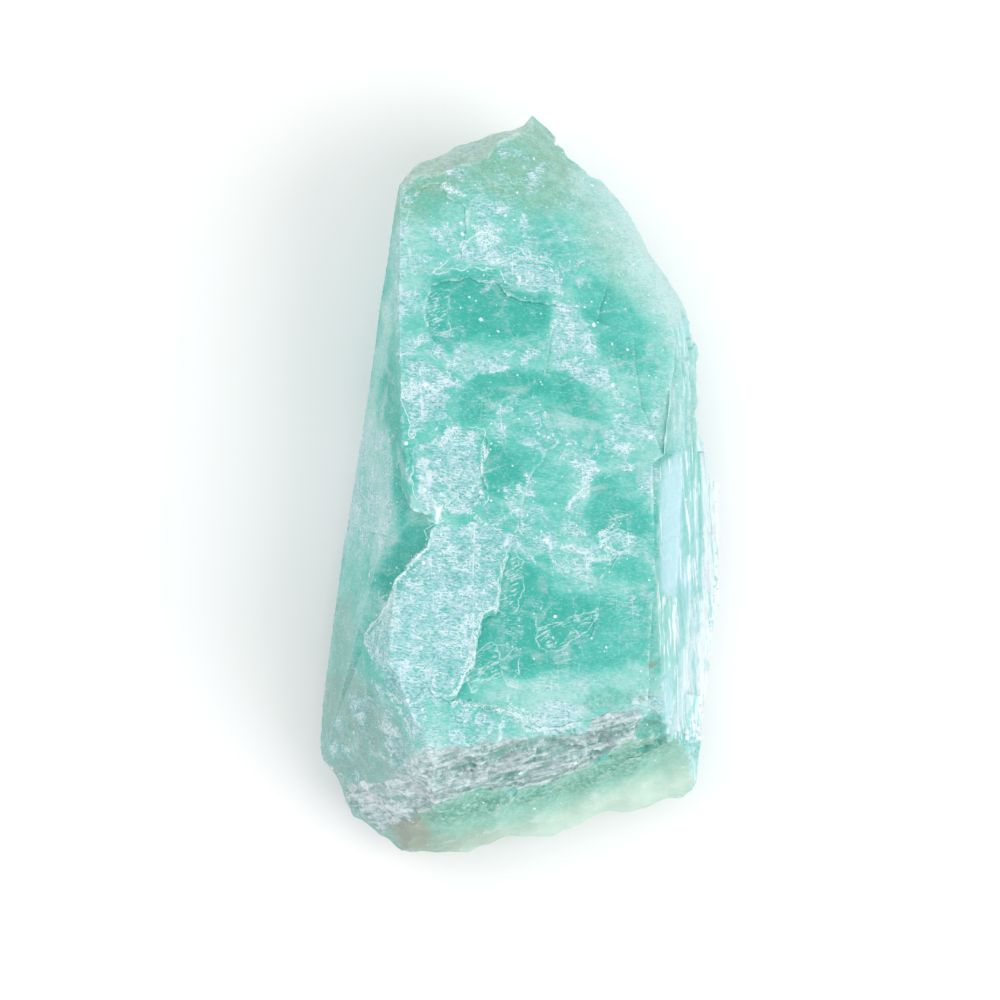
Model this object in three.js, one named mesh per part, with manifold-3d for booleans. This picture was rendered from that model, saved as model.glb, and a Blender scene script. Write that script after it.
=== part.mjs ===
// Rough amazonite: one broken lump of blue-green feldspar, lying on its broad back.
//
// The lump is one solid. Its broad upper face is a cleavage plane with thin layers split away, its long
// left face is the second cleavage, and its right side falls in a stair of thin cleavage steps. The other
// sides are uneven fractures, and the back has a small flat spot that it rests on.
//
// Millimetres, +Z up, +X across, +Y along the length. The origin is under the middle of the lump's box, on
// the surface that it rests on. Faces are cut one by one from a block, each by a slab whose inner side has
// the relief of that face, so two faces meet in the uneven edge that a real break has.

import * as THREE from "three";
import { mergeVertices } from "three/addons/utils/BufferGeometryUtils.js";
import Module from "manifold-3d";

// Driving dimensions.
const LENGTH = 80; // along Y
const WIDTH = 43.5; // along X
const THICKNESS = 26; // along Z

// Places in the tables below are in millimetres on a lump of these sizes, and `place` scales them.
const DRAWN = new THREE.Vector3(43.5, 80, 26);
const GROWTH = new THREE.Vector3(WIDTH, LENGTH, THICKNESS).divide(DRAWN);

const BLOCK_MARGIN = 1.5; // the block's size as a multiple of the lump's
const SLAB_DEPTH = 45; // how far a cutting slab reaches outwards
const SLAB_WIDTH = 104; // how far it reaches along and across its face
const MERGE = 1e-4; // vertices closer than this are one vertex

// The kinds of surface, by their relief in millimetres: `height` of the swells, `length` of the longest
// swell, and `cell`, the size of the flats that stand for the finer roughness.
const SURFACES = {
  flat: { height: 0, length: 20, cell: [SLAB_WIDTH, SLAB_WIDTH] },
  cleavage: { height: 0.1, length: 34, cell: [5.2, 5.2] },
  worn: { height: 0.26, length: 19, cell: [2.6, 2.6] },
  fracture: { height: 0.42, length: 15, cell: [2.2, 2.2] },
  hackly: { height: 0.62, length: 9, cell: [1.7, 1.5] },
  striated: { height: 0.1, length: 30, cell: [8, 1.3], tread: 2.1, rise: 0.55 },
};

// Faces that look up or down, each by a point on it and the way it falls: `heading` is the compass angle of
// the fall, anticlockwise from +X, and `slope` is its angle from level. `back` is true for those that look
// down. A face with an outline, in its own plane from its point, only cuts within it.
const FACES = [
  { name: "main", on: [0, 0, 21.0], heading: 28, slope: 9.6, surface: "cleavage" },
  { name: "shoulder", on: [6.0, 21.0, 18.45], heading: 33, slope: 15, surface: "worn" },
  { name: "brow", on: [8.0, 23.4, 17.65], heading: 34, slope: 25, surface: "worn" },
  { name: "temple", on: [9.5, 25.7, 16.5], heading: 33, slope: 40, surface: "worn" },
  { name: "corner", on: [-13.6, -20.5, 24.2], heading: 207, slope: 58, surface: "fracture" },
  {
    name: "bay", on: [-9.0, -5.0, 22.4], heading: 192, slope: 40, surface: "cleavage",
    outline: [
      [-4.4, 6.2], [-3.6, 4.8], [-2.1, 3.2], [0.1, 2.2], [-0.3, -0.8], [-1.7, -3.5], [-2.7, -5.7],
      [-4.5, -7.2], [-5.0, -9.3], [-6.7, -10.7], [-30.0, -14.0], [-30.0, 12.0],
    ],
  },
  { name: "band", on: [4.2, -26.4, 22.4], heading: -70, slope: 54, surface: "hackly" },
  { name: "back_head", on: [0, 13, 0], heading: 84, slope: 10, surface: "fracture", back: true },
  { name: "back_foot", on: [0, -15, 0], heading: -97, slope: 9, surface: "fracture", back: true },
  { name: "back_right", on: [9, 0, 0], heading: 6, slope: 17, surface: "worn", back: true },
  { name: "back_left", on: [-9, -3, 0], heading: 172, slope: 14, surface: "cleavage", back: true },
];

// Faces round the rim, in clockwise order seen from above. The rim runs from `from` to `to`; the side rises
// from it at the angle `rise` and falls from it, inwards, at the angle `under`. A side with `ends` only cuts
// between them, in millimetres along it from the rim's middle.
const RIM = [
  { name: "head", from: [-13.9, 34.6, 15], to: [1.2, 41.0, 11], rise: 76, under: 66, surface: "fracture" },
  { name: "crown", from: [2.0, 41.2, 10], to: [11.0, 32.2, 10], rise: 66, under: 50, surface: "worn" },
  {
    name: "upper_right", from: [11.0, 32.2, 10], to: [17.8, 21.4, 9],
    rise: 68, under: 50, surface: "worn",
  },
  {
    name: "right_bend", from: [17.8, 21.4, 9], to: [21.0, 8.5, 7],
    rise: 72, under: 58, surface: "striated",
  },
  {
    name: "right", from: [21.7, 3.0, 7], to: [21.7, -11.0, 6],
    rise: 79, under: 52, surface: "striated",
  },
  {
    name: "lower_right", from: [21.7, -11.0, 6], to: [18.9, -33.3, 5],
    rise: 80, under: 60, surface: "striated",
  },
  {
    name: "foot", from: [18.9, -33.3, 3.5], to: [-7.5, -40.4, 6.5],
    rise: 62, under: 50, surface: "fracture",
  },
  {
    name: "toe", from: [-7.5, -40.4, 4.5], to: [-13.8, -39.4, 6],
    rise: 66, under: 55, surface: "fracture",
  },
  {
    name: "lower_left", from: [-13.8, -39.4, 6], to: [-21.7, -30.4, 7],
    rise: 62, under: 48, surface: "fracture",
  },
  {
    name: "left_foot", from: [-21.9, -29.4, 5.2], to: [-21.8, -24.0, 5.2],
    rise: 68, under: 56, surface: "worn",
  },
  {
    name: "left_low", from: [-21.7, -25.0, 4.6], to: [-18.7, -4.0, 4.6],
    rise: 72, under: 60, surface: "cleavage",
    ends: [-60, 10.65],
  },
  {
    name: "left_high", from: [-18.7, -4.0, 4.6], to: [-12.9, 34.0, 19.5],
    rise: 72, under: 74, surface: "cleavage",
    ends: [-19.35, 60],
  },
];

// Layers split away from a cleavage face. `depth` is how far below the face the split lies, and the outline
// is in the face's own plane, from the point that the face is given by.
const LEDGES = [
  {
    face: "main",
    depth: 0.7,
    outline: [
      [-9.6, 22.7], [-5.4, 23.6], [-2.2, 23.0], [0.1, 21.1], [3.9, 20.7], [3.4, 14.2], [2.6, 12.4],
      [-0.6, 11.3], [-4.9, 12.0], [-7.9, 14.2], [-10.0, 17.8],
    ],
  },
  {
    face: "main",
    depth: 0.95,
    outline: [
      [-3.8, 1.6], [-0.2, 4.6], [4.2, 8.2], [8.9, 7.4], [13.2, 4.0], [14.2, -4.0], [13.9, -14.5],
      [13.4, -22.4], [8.2, -23.6], [2.1, -22.4], [-5.2, -21.8], [-4.4, -17.2], [-2.1, -12.6],
      [-2.3, -8.0], [-4.3, -3.6],
    ],
  },
  {
    face: "main",
    depth: 0.8,
    outline: [
      [-10.2, -21.2], [-7.3, -23.2], [-4.6, -22.6], [-3.5, -24.0], [-1.1, -24.0], [2.0, -26.2],
      [6.0, -25.6], [6.0, -34.0], [-14.0, -34.0], [-12.8, -24.6],
    ],
  },
  {
    face: "main",
    depth: 0.45,
    outline: [
      [8.4, 19.0], [12.4, 17.6], [13.2, 9.6], [15.6, 4.4], [16.4, 11.6], [17.4, 17.0], [15.4, 24.0],
      [10.2, 25.6],
    ],
  },
  {
    face: "main",
    depth: 1.5,
    outline: [
      [14.4, 3.4], [15.7, 4.4], [16.5, 11.4], [17.2, 17.0], [24.0, 20.0], [24.0, -30.0], [13.8, -30.0],
      [14.0, -18.0], [14.7, -9.0],
    ],
  },
  {
    face: "main",
    depth: 3.1,
    outline: [
      [17.9, 3.2], [18.3, 11.4], [18.0, 16.6], [26.0, 18.0], [26.0, -30.0], [16.6, -30.0], [17.2, -15.0],
      [17.5, -6.0],
    ],
  },
  {
    face: "main",
    depth: 6.0,
    outline: [
      [19.3, 16.0], [19.0, 5.8], [19.2, -7.0], [18.8, -17.5], [17.9, -26.5], [28.0, -26.5], [28.0, 16.0],
    ],
  },
  {
    face: "main",
    depth: 9.2,
    outline: [
      [20.3, 5.4], [20.5, -4.0], [20.1, -14.0], [19.2, -21.5], [30.0, -21.5], [30.0, 5.4],
    ],
  },
];

// Corners broken out of the rim right through, in X and Y.
const BREAKS = [
  [[19.3, 5.2], [20.4, 5.9], [26.0, 4.6], [26.0, 20.0], [19.9, 20.0], [19.1, 12.0]],
  [[3.3, 37.9], [4.9, 36.0], [7.2, 35.3], [12.0, 38.0], [5.0, 44.0]],
];

const OCTAVES = 4;
const OCTAVE_SHRINK = 0.58; // each octave's swells are this much shorter
const OCTAVE_FADE = 0.56; // and this much lower
const OCTAVE_TURN = 2.4; // and turned by this angle, in radians
const CROSS_PITCH = 1.3; // swells across are this much closer than swells along

const degrees = THREE.MathUtils.degToRad;
const place = ([x, y, z]) => new THREE.Vector3(x, y, z).multiply(GROWTH);

// Uneven swells, about -1 to 1, with the longest `length` apart.
function swells(u, v, length, seed) {
  let height = 0;
  for (let octave = 0; octave < OCTAVES; octave += 1) {
    const turn = seed + octave * OCTAVE_TURN;
    const pitch = (2 * Math.PI) / (length * OCTAVE_SHRINK ** octave);
    const along = pitch * (u * Math.cos(turn) + v * Math.sin(turn)) + 7 * seed;
    const across = pitch * CROSS_PITCH * (v * Math.cos(turn) - u * Math.sin(turn)) + 3 * seed;
    height += OCTAVE_FADE ** octave * Math.sin(along + Math.sin(across));
  }
  return height;
}

// A stair of thin layers across a striated face: how far the face stands out at a height v.
function stair(u, v, { tread, rise }, seed) {
  const wander = v + 0.35 * tread * swells(u, 0.3 * v, 26, seed);
  const step = wander / tread;
  return rise * (Math.floor(step) + 0.5 - step);
}

function relief(u, v, surface, seed) {
  const swell = surface.height * swells(u, v, surface.length, seed);
  return surface.rise ? swell + stair(u, v, surface, seed) : swell;
}

// A closed geometry as a manifold-3d solid, for joining and cutting.
function solidOf(wasm, geometry) {
  const bare = geometry.clone();
  bare.deleteAttribute("normal");
  bare.deleteAttribute("uv");
  const merged = mergeVertices(bare, MERGE);
  return new wasm.Manifold(
    new wasm.Mesh({
      numProp: 3,
      vertProperties: new Float32Array(merged.attributes.position.array),
      triVerts: new Uint32Array(merged.index.array),
    }),
  );
}

// A manifold-3d solid as a geometry.
function geometryOf(solid) {
  const mesh = solid.getMesh();
  return new THREE.BufferGeometry()
    .setAttribute("position", new THREE.BufferAttribute(new Float32Array(mesh.vertProperties), 3))
    .setIndex(new THREE.BufferAttribute(new Uint32Array(mesh.triVerts), 1));
}

// The frame of a face: its origin, with u along it, v across it and its outward normal.
function frameOf(origin, along, outward) {
  const n = outward.clone().normalize();
  const u = along.clone().addScaledVector(n, -along.dot(n)).normalize();
  const v = new THREE.Vector3().crossVectors(n, u);
  return new THREE.Matrix4().makeBasis(u, v, n).setPosition(origin);
}

function frameOfFace({ on, heading, slope, back }) {
  const fall = new THREE.Vector3(Math.cos(degrees(heading)), Math.sin(degrees(heading)), 0);
  const up = new THREE.Vector3(0, 0, back ? -1 : 1);
  const outward = fall.multiplyScalar(Math.sin(degrees(slope))).addScaledVector(up, Math.cos(degrees(slope)));
  return frameOf(place(on), new THREE.Vector3(1, 0, 0), outward);
}

// The side above the rim, or the one below it where `under` is true.
function frameOfSide({ from, to, rise, under: fall }, under) {
  const start = place(from);
  const end = place(to);
  const along = end.clone().sub(start).normalize();
  const out = new THREE.Vector3(-along.y, along.x, 0).normalize();
  const lean = degrees(under ? fall : rise);
  const inwards = out
    .clone()
    .multiplyScalar(-Math.cos(lean))
    .add(new THREE.Vector3(0, 0, under ? -Math.sin(lean) : Math.sin(lean)));
  const outward = new THREE.Vector3().crossVectors(along, inwards);
  if (outward.dot(out) < 0) outward.negate();
  const level = along.addScaledVector(inwards, -along.dot(inwards));
  return frameOf(start.add(end).multiplyScalar(0.5), level, outward);
}

// A slab that lies on the outside of a face, with the face's relief on its inner side. `ends` are how far it
// reaches along the face.
function slab(frame, surface, seed, ends = [-SLAB_WIDTH / 2, SLAB_WIDTH / 2]) {
  const length = ends[1] - ends[0];
  const across = Math.max(1, Math.round(length / surface.cell[0]));
  const down = Math.max(1, Math.round(SLAB_WIDTH / surface.cell[1]));
  const box = new THREE.BoxGeometry(length, SLAB_WIDTH, SLAB_DEPTH, across, down, 1);
  box.translate((ends[0] + ends[1]) / 2, 0, 0);
  const position = box.attributes.position;
  for (let i = 0; i < position.count; i += 1) {
    if (position.getZ(i) < 0)
      position.setZ(i, relief(position.getX(i), position.getY(i), surface, seed) - SLAB_DEPTH / 2);
  }
  return box.translate(0, 0, SLAB_DEPTH / 2).applyMatrix4(frame);
}

// What lies over a split: everything above `depth` below the face, within the outline.
function ledge(frame, { depth, outline }) {
  const shape = new THREE.Shape(outline.map(([u, v]) => new THREE.Vector2(u * GROWTH.x, v * GROWTH.y)));
  return new THREE.ExtrudeGeometry(shape, { depth: SLAB_DEPTH, bevelEnabled: false })
    .translate(0, 0, -depth)
    .applyMatrix4(frame);
}

// A piece broken out of the rim from top to bottom.
function breakOut(outline) {
  const shape = new THREE.Shape(outline.map(([x, y]) => new THREE.Vector2(x * GROWTH.x, y * GROWTH.y)));
  const column = new THREE.ExtrudeGeometry(shape, { depth: 2 * SLAB_DEPTH, bevelEnabled: false });
  return column.translate(0, 0, -SLAB_DEPTH);
}

// Every cutter for the lump, as closed geometries.
function cutters() {
  const made = [];
  const frames = new Map();
  FACES.forEach((face, i) => {
    frames.set(face.name, frameOfFace(face));
    const frame = frames.get(face.name);
    const whole = !face.outline;
    made.push(whole ? slab(frame, SURFACES[face.surface], i + 1) : ledge(frame, { depth: 0, ...face }));
  });
  RIM.forEach((side, i) => {
    frames.set(side.name, frameOfSide(side, false));
    made.push(slab(frames.get(side.name), SURFACES[side.surface], i + 11, side.ends));
    made.push(slab(frameOfSide(side, true), SURFACES[side.surface], i + 31));
  });
  LEDGES.forEach((split) => made.push(ledge(frames.get(split.face), split)));
  BREAKS.forEach((outline) => made.push(breakOut(outline)));
  const rest = frameOf(new THREE.Vector3(), new THREE.Vector3(1, 0, 0), new THREE.Vector3(0, 0, -1));
  made.push(slab(rest, SURFACES.flat, 0));
  return made;
}

// The lump at its stated size, with the middle of its box over the origin.
function seat(geometry) {
  geometry.computeBoundingBox();
  const { min, max } = geometry.boundingBox;
  const size = max.clone().sub(min);
  return geometry
    .translate(-(min.x + max.x) / 2, -(min.y + max.y) / 2, -min.z)
    .scale(WIDTH / size.x, LENGTH / size.y, THICKNESS / size.z);
}

function lump(wasm) {
  const block = new THREE.BoxGeometry(WIDTH, LENGTH, THICKNESS);
  block.scale(BLOCK_MARGIN, BLOCK_MARGIN, BLOCK_MARGIN);
  const cut = cutters().reduce(
    (left, cutter) => left.subtract(solidOf(wasm, cutter)),
    solidOf(wasm, block.translate(0, 0, THICKNESS / 2)),
  );
  return seat(geometryOf(cut));
}

const wasm = await Module();
wasm.setup();

const stone = new THREE.Mesh(
  lump(wasm),
  new THREE.MeshStandardMaterial({ color: 0x5cbfa9, roughness: 0.42, metalness: 0, flatShading: true }),
);
stone.name = "amazonite_lump";

const part = new THREE.Group();
part.add(stone);

export default part;
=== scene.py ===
"""Rough amazonite: one broken lump of blue-green feldspar, lying on its broad back.

The lump is cut from a block, one broken face at a time. Each face is cut by a pyramid whose base has the relief
of that face, so that two faces meet in the uneven edge of a real break. Thin sheets are then split away from
the cleavages. The stone is modelled at one unit a millimetre, and brought to metres at the end.
"""

from __future__ import annotations

import logging
import math
from dataclasses import dataclass, field
from enum import Enum
from functools import reduce

import bpy
import numpy as np
from mathutils import Matrix, Vector
from mathutils.bvhtree import BVHTree

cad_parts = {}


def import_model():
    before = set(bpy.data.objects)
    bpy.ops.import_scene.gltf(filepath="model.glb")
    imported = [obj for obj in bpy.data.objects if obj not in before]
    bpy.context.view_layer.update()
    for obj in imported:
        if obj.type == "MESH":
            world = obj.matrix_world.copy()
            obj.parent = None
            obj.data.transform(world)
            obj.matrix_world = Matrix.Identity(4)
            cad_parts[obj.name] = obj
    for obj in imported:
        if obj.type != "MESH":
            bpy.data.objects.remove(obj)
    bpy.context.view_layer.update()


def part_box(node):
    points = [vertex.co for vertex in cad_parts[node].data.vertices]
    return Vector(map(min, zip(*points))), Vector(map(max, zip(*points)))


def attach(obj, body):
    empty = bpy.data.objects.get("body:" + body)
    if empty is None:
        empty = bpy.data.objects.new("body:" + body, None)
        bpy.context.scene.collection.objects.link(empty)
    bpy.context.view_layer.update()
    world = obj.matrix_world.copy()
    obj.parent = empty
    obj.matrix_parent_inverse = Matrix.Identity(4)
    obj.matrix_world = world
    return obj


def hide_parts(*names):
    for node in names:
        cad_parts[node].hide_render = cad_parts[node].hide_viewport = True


LOG = logging.getLogger("amazonite")

MM = 0.001
NODE = "amazonite_lump"
BODY = "root"

# The size that the tables of faces are drawn at, and how much larger the block is that the lump is cut from.
DRAWN_MM = Vector((43.5, 80.0, 26.0))
BLOCK_MARGIN = 1.5

# A cutter is a pyramid on a face. Its base reaches this far from the face's point, and its tip stands this high.
# A corner of its unit grid that is as near to the border as this lies on it.
FAR_MM = 80.0
APEX_MM = 900.0
NEARLY = 1e-6

# Where the walls of an outline start and end: through the whole lump, off one face, and around one split layer.
UNDER_ALL_MM, THROUGH_ALL_MM = -40.0, 90.0
WALL_START_MM, WALL_TOP_MM = -4.0, 40.0
LAYER_SINK_MM, LAYER_TOP_MM = 2.0, 12.0

# How far the fine mesh goes past a side's ends, past the rim and past a layer's outline, and how far inside a
# side's limit it stops.
PAST_END_MM = 7.0
PAST_RIM_MM = 3.0
PAST_LAYER_MM = 1.0
INSIDE_LIMIT_MM = 0.4

# The first cut of each kind has this pattern, and the next one the next pattern.
FACE_SEED, UPPER_SIDE_SEED, LOWER_SIDE_SEED, LEDGE_SEED, BREAK_SEED = 1, 11, 31, 51, 71

# Broad swells: each octave is shorter, lower and turned.
OCTAVE_SHRINK = 0.58
OCTAVE_FADE = 0.56
OCTAVE_TURN = 2.4
CROSS_PITCH = 1.3
ALONG_SHIFT = 7
ACROSS_SHIFT = 3
BROAD_OCTAVES = range(0, 4)
FINE_OCTAVES = range(4, 8)
SHEET_OCTAVES = range(0, 6)
EDGE_OCTAVES = range(0, 5)

# The factors that scatter numbers.
SCATTER_I, SCATTER_J, SCATTER_SALT, SCATTER_BY = 127.1, 311.7, 74.7, 43758.5453

# Chips: how far their rows bend, and how large the smaller ones among them are.
CHIP_BEND = 0.4
CHIP_BEND_LENGTH = 3
SMALL_CHIP_HEIGHT = 0.4
SMALL_CHIP = 0.45

# Thin sheets: how many there are from dip to swell, how long they run, and where and how wide their edges are.
SHEET_COUNT = 2.6
SHEET_LENGTH_MM = 17
SHEET_STRETCH = 0.4
SHEET_EDGE = 0.42
SHEET_EDGE_WIDTH = 0.16

# Stairs of cleavage steps: how far they swing, and how much smaller the small ones between them are.
STEP_SWING = 0.35
STEP_LENGTH_MM = 26
STEP_STRETCH = 0.3
SMALL_STEP = 0.27

# An edge's short steps, the swells that they follow, and the fade towards a corner.
EDGE_STEP_MM = 0.5
EDGE_THROW_MM = 0.16
EDGE_SWELL_MM = 4.2
CORNER_FADE = 0.5

Outline = tuple[tuple[float, float], ...]
Span = tuple[float, float]
Place = tuple[float, float, float]


def swells(u: np.ndarray, v: np.ndarray, length: float, seed: float, octaves: range = BROAD_OCTAVES) -> np.ndarray:
    """Uneven swells over a surface.

    Args:
        u: Places along the surface.
        v: Places across it.
        length: The longest swell.
        seed: Picks one pattern.
        octaves: Which octaves of the pattern are added up.

    Returns:
        Heights, about -1 to 1 for the broad octaves.
    """
    height = np.zeros_like(u)
    for octave in octaves:
        turn = seed + octave * OCTAVE_TURN
        pitch = 2 * math.pi / (length * OCTAVE_SHRINK**octave)
        along = pitch * (u * math.cos(turn) + v * math.sin(turn)) + ALONG_SHIFT * seed
        across = pitch * CROSS_PITCH * (v * math.cos(turn) - u * math.sin(turn)) + ACROSS_SHIFT * seed
        height += OCTAVE_FADE**octave * np.sin(along + np.sin(across))
    return height


def scatter(i: np.ndarray, j: np.ndarray, salt: float) -> np.ndarray:
    """Repeatable numbers from 0 to 1 for whole numbers i and j."""
    wave = np.sin(i * SCATTER_I + j * SCATTER_J + salt * SCATTER_SALT) * SCATTER_BY
    return wave - np.floor(wave)


def smooth(share: np.ndarray) -> np.ndarray:
    """Eases a share from 0 to 1 in and out."""
    share = np.clip(share, 0, 1)
    return share * share * (3 - 2 * share)


def chips(u: np.ndarray, v: np.ndarray, size: float, seed: float) -> np.ndarray:
    """Small flat chips, each at its own tilt and height.

    Args:
        u: Places along the surface.
        v: Places across it.
        size: How wide a chip is.
        seed: Picks one pattern.

    Returns:
        Heights, about -1 to 1.
    """
    x, y = u / size, v / size
    column, row = np.floor(x), np.floor(y)
    nearest = np.full_like(u, np.inf)
    height = np.zeros_like(u)
    for step_x in (-1, 0, 1):
        for step_y in (-1, 0, 1):
            i, j = column + step_x, row + step_y
            away_x = x - i - scatter(i, j, seed)
            away_y = y - j - scatter(i, j, seed + 1)
            tilt = (scatter(i, j, seed + 2) - 0.5) * away_x + (scatter(i, j, seed + 3) - 0.5) * away_y
            distance = away_x**2 + away_y**2
            closer = distance < nearest
            height = np.where(closer, 2 * tilt + scatter(i, j, seed + 4) - 0.5, height)
            nearest = np.where(closer, distance, nearest)
    return height


@dataclass(frozen=True)
class Relief:
    """The unevenness of one kind of broken surface. All sizes are in millimetres.

    Args:
        height: Half the height of the broad swells.
        length: The longest swell.
        rough: Height of the fine swells.
        chip_height: Height of the small flat chips.
        chip: Width of one chip.
        tread: Width of one cleavage step, across the surface.
        rise: Height of one cleavage step.
        sheet: Thickness of the thin sheets that are broken off it here and there.
        cell: Size of the mesh's cells.
    """

    height: float
    length: float
    rough: float = 0.0
    chip_height: float = 0.0
    chip: float = 2.0
    tread: float = 0.0
    rise: float = 0.0
    sheet: float = 0.0
    cell: float = 0.4

    def at(self, u: np.ndarray, v: np.ndarray, seed: float) -> np.ndarray:
        """Works out how far the surface stands out of its plane.

        Args:
            u: Places along the surface.
            v: Places across it.
            seed: Picks one pattern.

        Returns:
            One height for each place.
        """
        level = self.height * swells(u, v, self.length, seed)
        if self.rough:
            level += self.rough * swells(u, v, self.length, seed, FINE_OCTAVES)
        if self.chip_height:
            bent = v + CHIP_BEND * self.chip * swells(u, v, CHIP_BEND_LENGTH * self.chip, seed)
            level += self.chip_height * chips(u, bent, self.chip, seed)
            level += SMALL_CHIP_HEIGHT * self.chip_height * chips(u, bent, SMALL_CHIP * self.chip, seed + 5)
        if self.sheet:
            layers = SHEET_COUNT * swells(u, SHEET_STRETCH * v, SHEET_LENGTH_MM, seed + 3, SHEET_OCTAVES)
            part = layers - np.floor(layers)
            level += self.sheet * (smooth((part - SHEET_EDGE) / SHEET_EDGE_WIDTH) - part)
        if self.rise:
            level += self._steps(u, v, self.tread, self.rise, seed)
            level += self._steps(u, v, SMALL_STEP * self.tread, SMALL_STEP * self.rise, seed + 9)
        return level

    @staticmethod
    def _steps(u: np.ndarray, v: np.ndarray, tread: float, rise: float, seed: float) -> np.ndarray:
        """A stair of thin layers: how far each stands out."""
        step = (v + STEP_SWING * tread * swells(u, STEP_STRETCH * v, STEP_LENGTH_MM, seed)) / tread
        return rise * (np.floor(step) + 0.5 - step)


class Break(Enum):
    """The kinds of broken surface."""

    CLEAVAGE = Relief(height=0.1, length=34.0, rough=0.04, sheet=0.11, cell=0.3)
    WORN = Relief(height=0.26, length=19.0, rough=0.10, cell=0.4)
    FRACTURE = Relief(height=0.42, length=15.0, rough=0.09, chip_height=0.03, chip=2.6, cell=0.4)
    HACKLY = Relief(height=0.62, length=9.0, rough=0.3, chip_height=0.34, chip=1.3, cell=0.3)
    STRIATED = Relief(height=0.1, length=30.0, rough=0.04, tread=2.1, rise=0.55, cell=0.36)


@dataclass(frozen=True)
class Plane:
    """Where a face lies: its origin, u along it, v across it and n outwards."""

    origin: Vector
    u: Vector
    v: Vector
    n: Vector

    @classmethod
    def facing(cls, origin: Vector, along: Vector, outward: Vector) -> Plane:
        """Lays out a plane.

        Args:
            origin: A point on it.
            along: What u follows as nearly as it can.
            outward: Which way it looks.

        Returns:
            The plane.
        """
        n = outward.normalized()
        u = (along - n * along.dot(n)).normalized()
        return cls(origin.copy(), u, n.cross(u), n)

    def matrix(self) -> Matrix:
        """From the plane's own places to the stone's."""
        turn = Matrix((self.u, self.v, self.n)).transposed()
        return Matrix.Translation(self.origin) @ turn.to_4x4()


@dataclass(frozen=True)
class Sheet:
    """An uneven surface that the lump is cut down to.

    Args:
        name: What it is called.
        plane: Where it lies.
        relief: How uneven it is.
        seed: Picks one pattern.
        depth: How far below the plane it lies at the plane's origin, and how much more along and across.
    """

    name: str
    plane: Plane
    relief: Relief
    seed: float
    depth: tuple[float, float, float] = (0.0, 0.0, 0.0)

    def level(self, u: np.ndarray, v: np.ndarray) -> np.ndarray:
        """How far it stands out of the plane at each place."""
        return self.relief.at(u, v, self.seed) - self.depth[0] - self.depth[1] * u - self.depth[2] * v

    def gap(self, places: np.ndarray) -> np.ndarray:
        """How far places are from it, square to the plane.

        Args:
            places: The places, one row each.

        Returns:
            One distance for each place.
        """
        away = places - np.array(self.plane.origin)
        u, v = away @ np.array(self.plane.u), away @ np.array(self.plane.v)
        return np.abs(away @ np.array(self.plane.n) - self.level(u, v))


@dataclass(frozen=True)
class Face:
    """A face that looks up or down.

    Args:
        name: What it is called.
        on: A point on it.
        heading: The compass angle that it falls along, anticlockwise from +X.
        slope: Its angle from level.
        kind: How it broke.
        reach: Its half size along and across, from the point.
        back: Whether it looks down.
        outline: What it is limited to, in its own plane.
    """

    name: str
    on: Place
    heading: float
    slope: float
    kind: Break
    reach: Span
    back: bool = False
    outline: Outline | None = None

    def plane(self) -> Plane:
        """Where the face lies.

        Returns:
            The plane through its point.
        """
        heading, slope = math.radians(self.heading), math.radians(self.slope)
        fall = Vector((math.cos(heading), math.sin(heading), 0)) * math.sin(slope)
        up = Vector((0, 0, -1 if self.back else 1)) * math.cos(slope)
        return Plane.facing(Vector(self.on), Vector((1, 0, 0)), fall + up)


@dataclass(frozen=True)
class Side:
    """A stretch of the rim, with the side that rises from it and the one that falls from it.

    Args:
        name: What it is called.
        start: Where the stretch starts, going clockwise as seen from above.
        end: Where it ends.
        rise: The angle that the side rises at, inwards.
        under: The angle that the lower side falls at, inwards.
        kind: How it broke.
        ends: Between what the upper side cuts, along the rim from its middle.
    """

    name: str
    start: Place
    end: Place
    rise: float
    under: float
    kind: Break
    ends: Span | None = None

    def plane(self, under: bool) -> tuple[Plane, float]:
        """Lays out one of the two sides.

        Args:
            under: Whether it is the side below the rim.

        Returns:
            Where it lies, and whether v goes inwards, 1, or outwards, -1.
        """
        start, end = Vector(self.start), Vector(self.end)
        along = (end - start).normalized()
        out = Vector((-along.y, along.x, 0)).normalized()
        lean = math.radians(self.under if under else self.rise)
        inwards = -out * math.cos(lean) + Vector((0, 0, -1 if under else 1)) * math.sin(lean)
        outward = along.cross(inwards)
        if outward.dot(out) < 0:
            outward.negate()
        plane = Plane.facing((start + end) / 2, along - inwards * along.dot(inwards), outward)
        return plane, math.copysign(1, plane.v.dot(inwards))

    def length(self) -> float:
        """How long the stretch is."""
        return (Vector(self.end) - Vector(self.start)).length


@dataclass(frozen=True)
class Ledge:
    """A layer split away from a face.

    Args:
        face: The face.
        depth: How deep the split lies, under the middle of the outline.
        outline: Its outline in the face's plane.
        fall: How much deeper it gets for each millimetre along and across.
        throw: How far its broken edge wanders.
    """

    face: str
    depth: float
    outline: Outline
    fall: Span = (0.0, 0.0)
    throw: float = EDGE_THROW_MM


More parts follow.
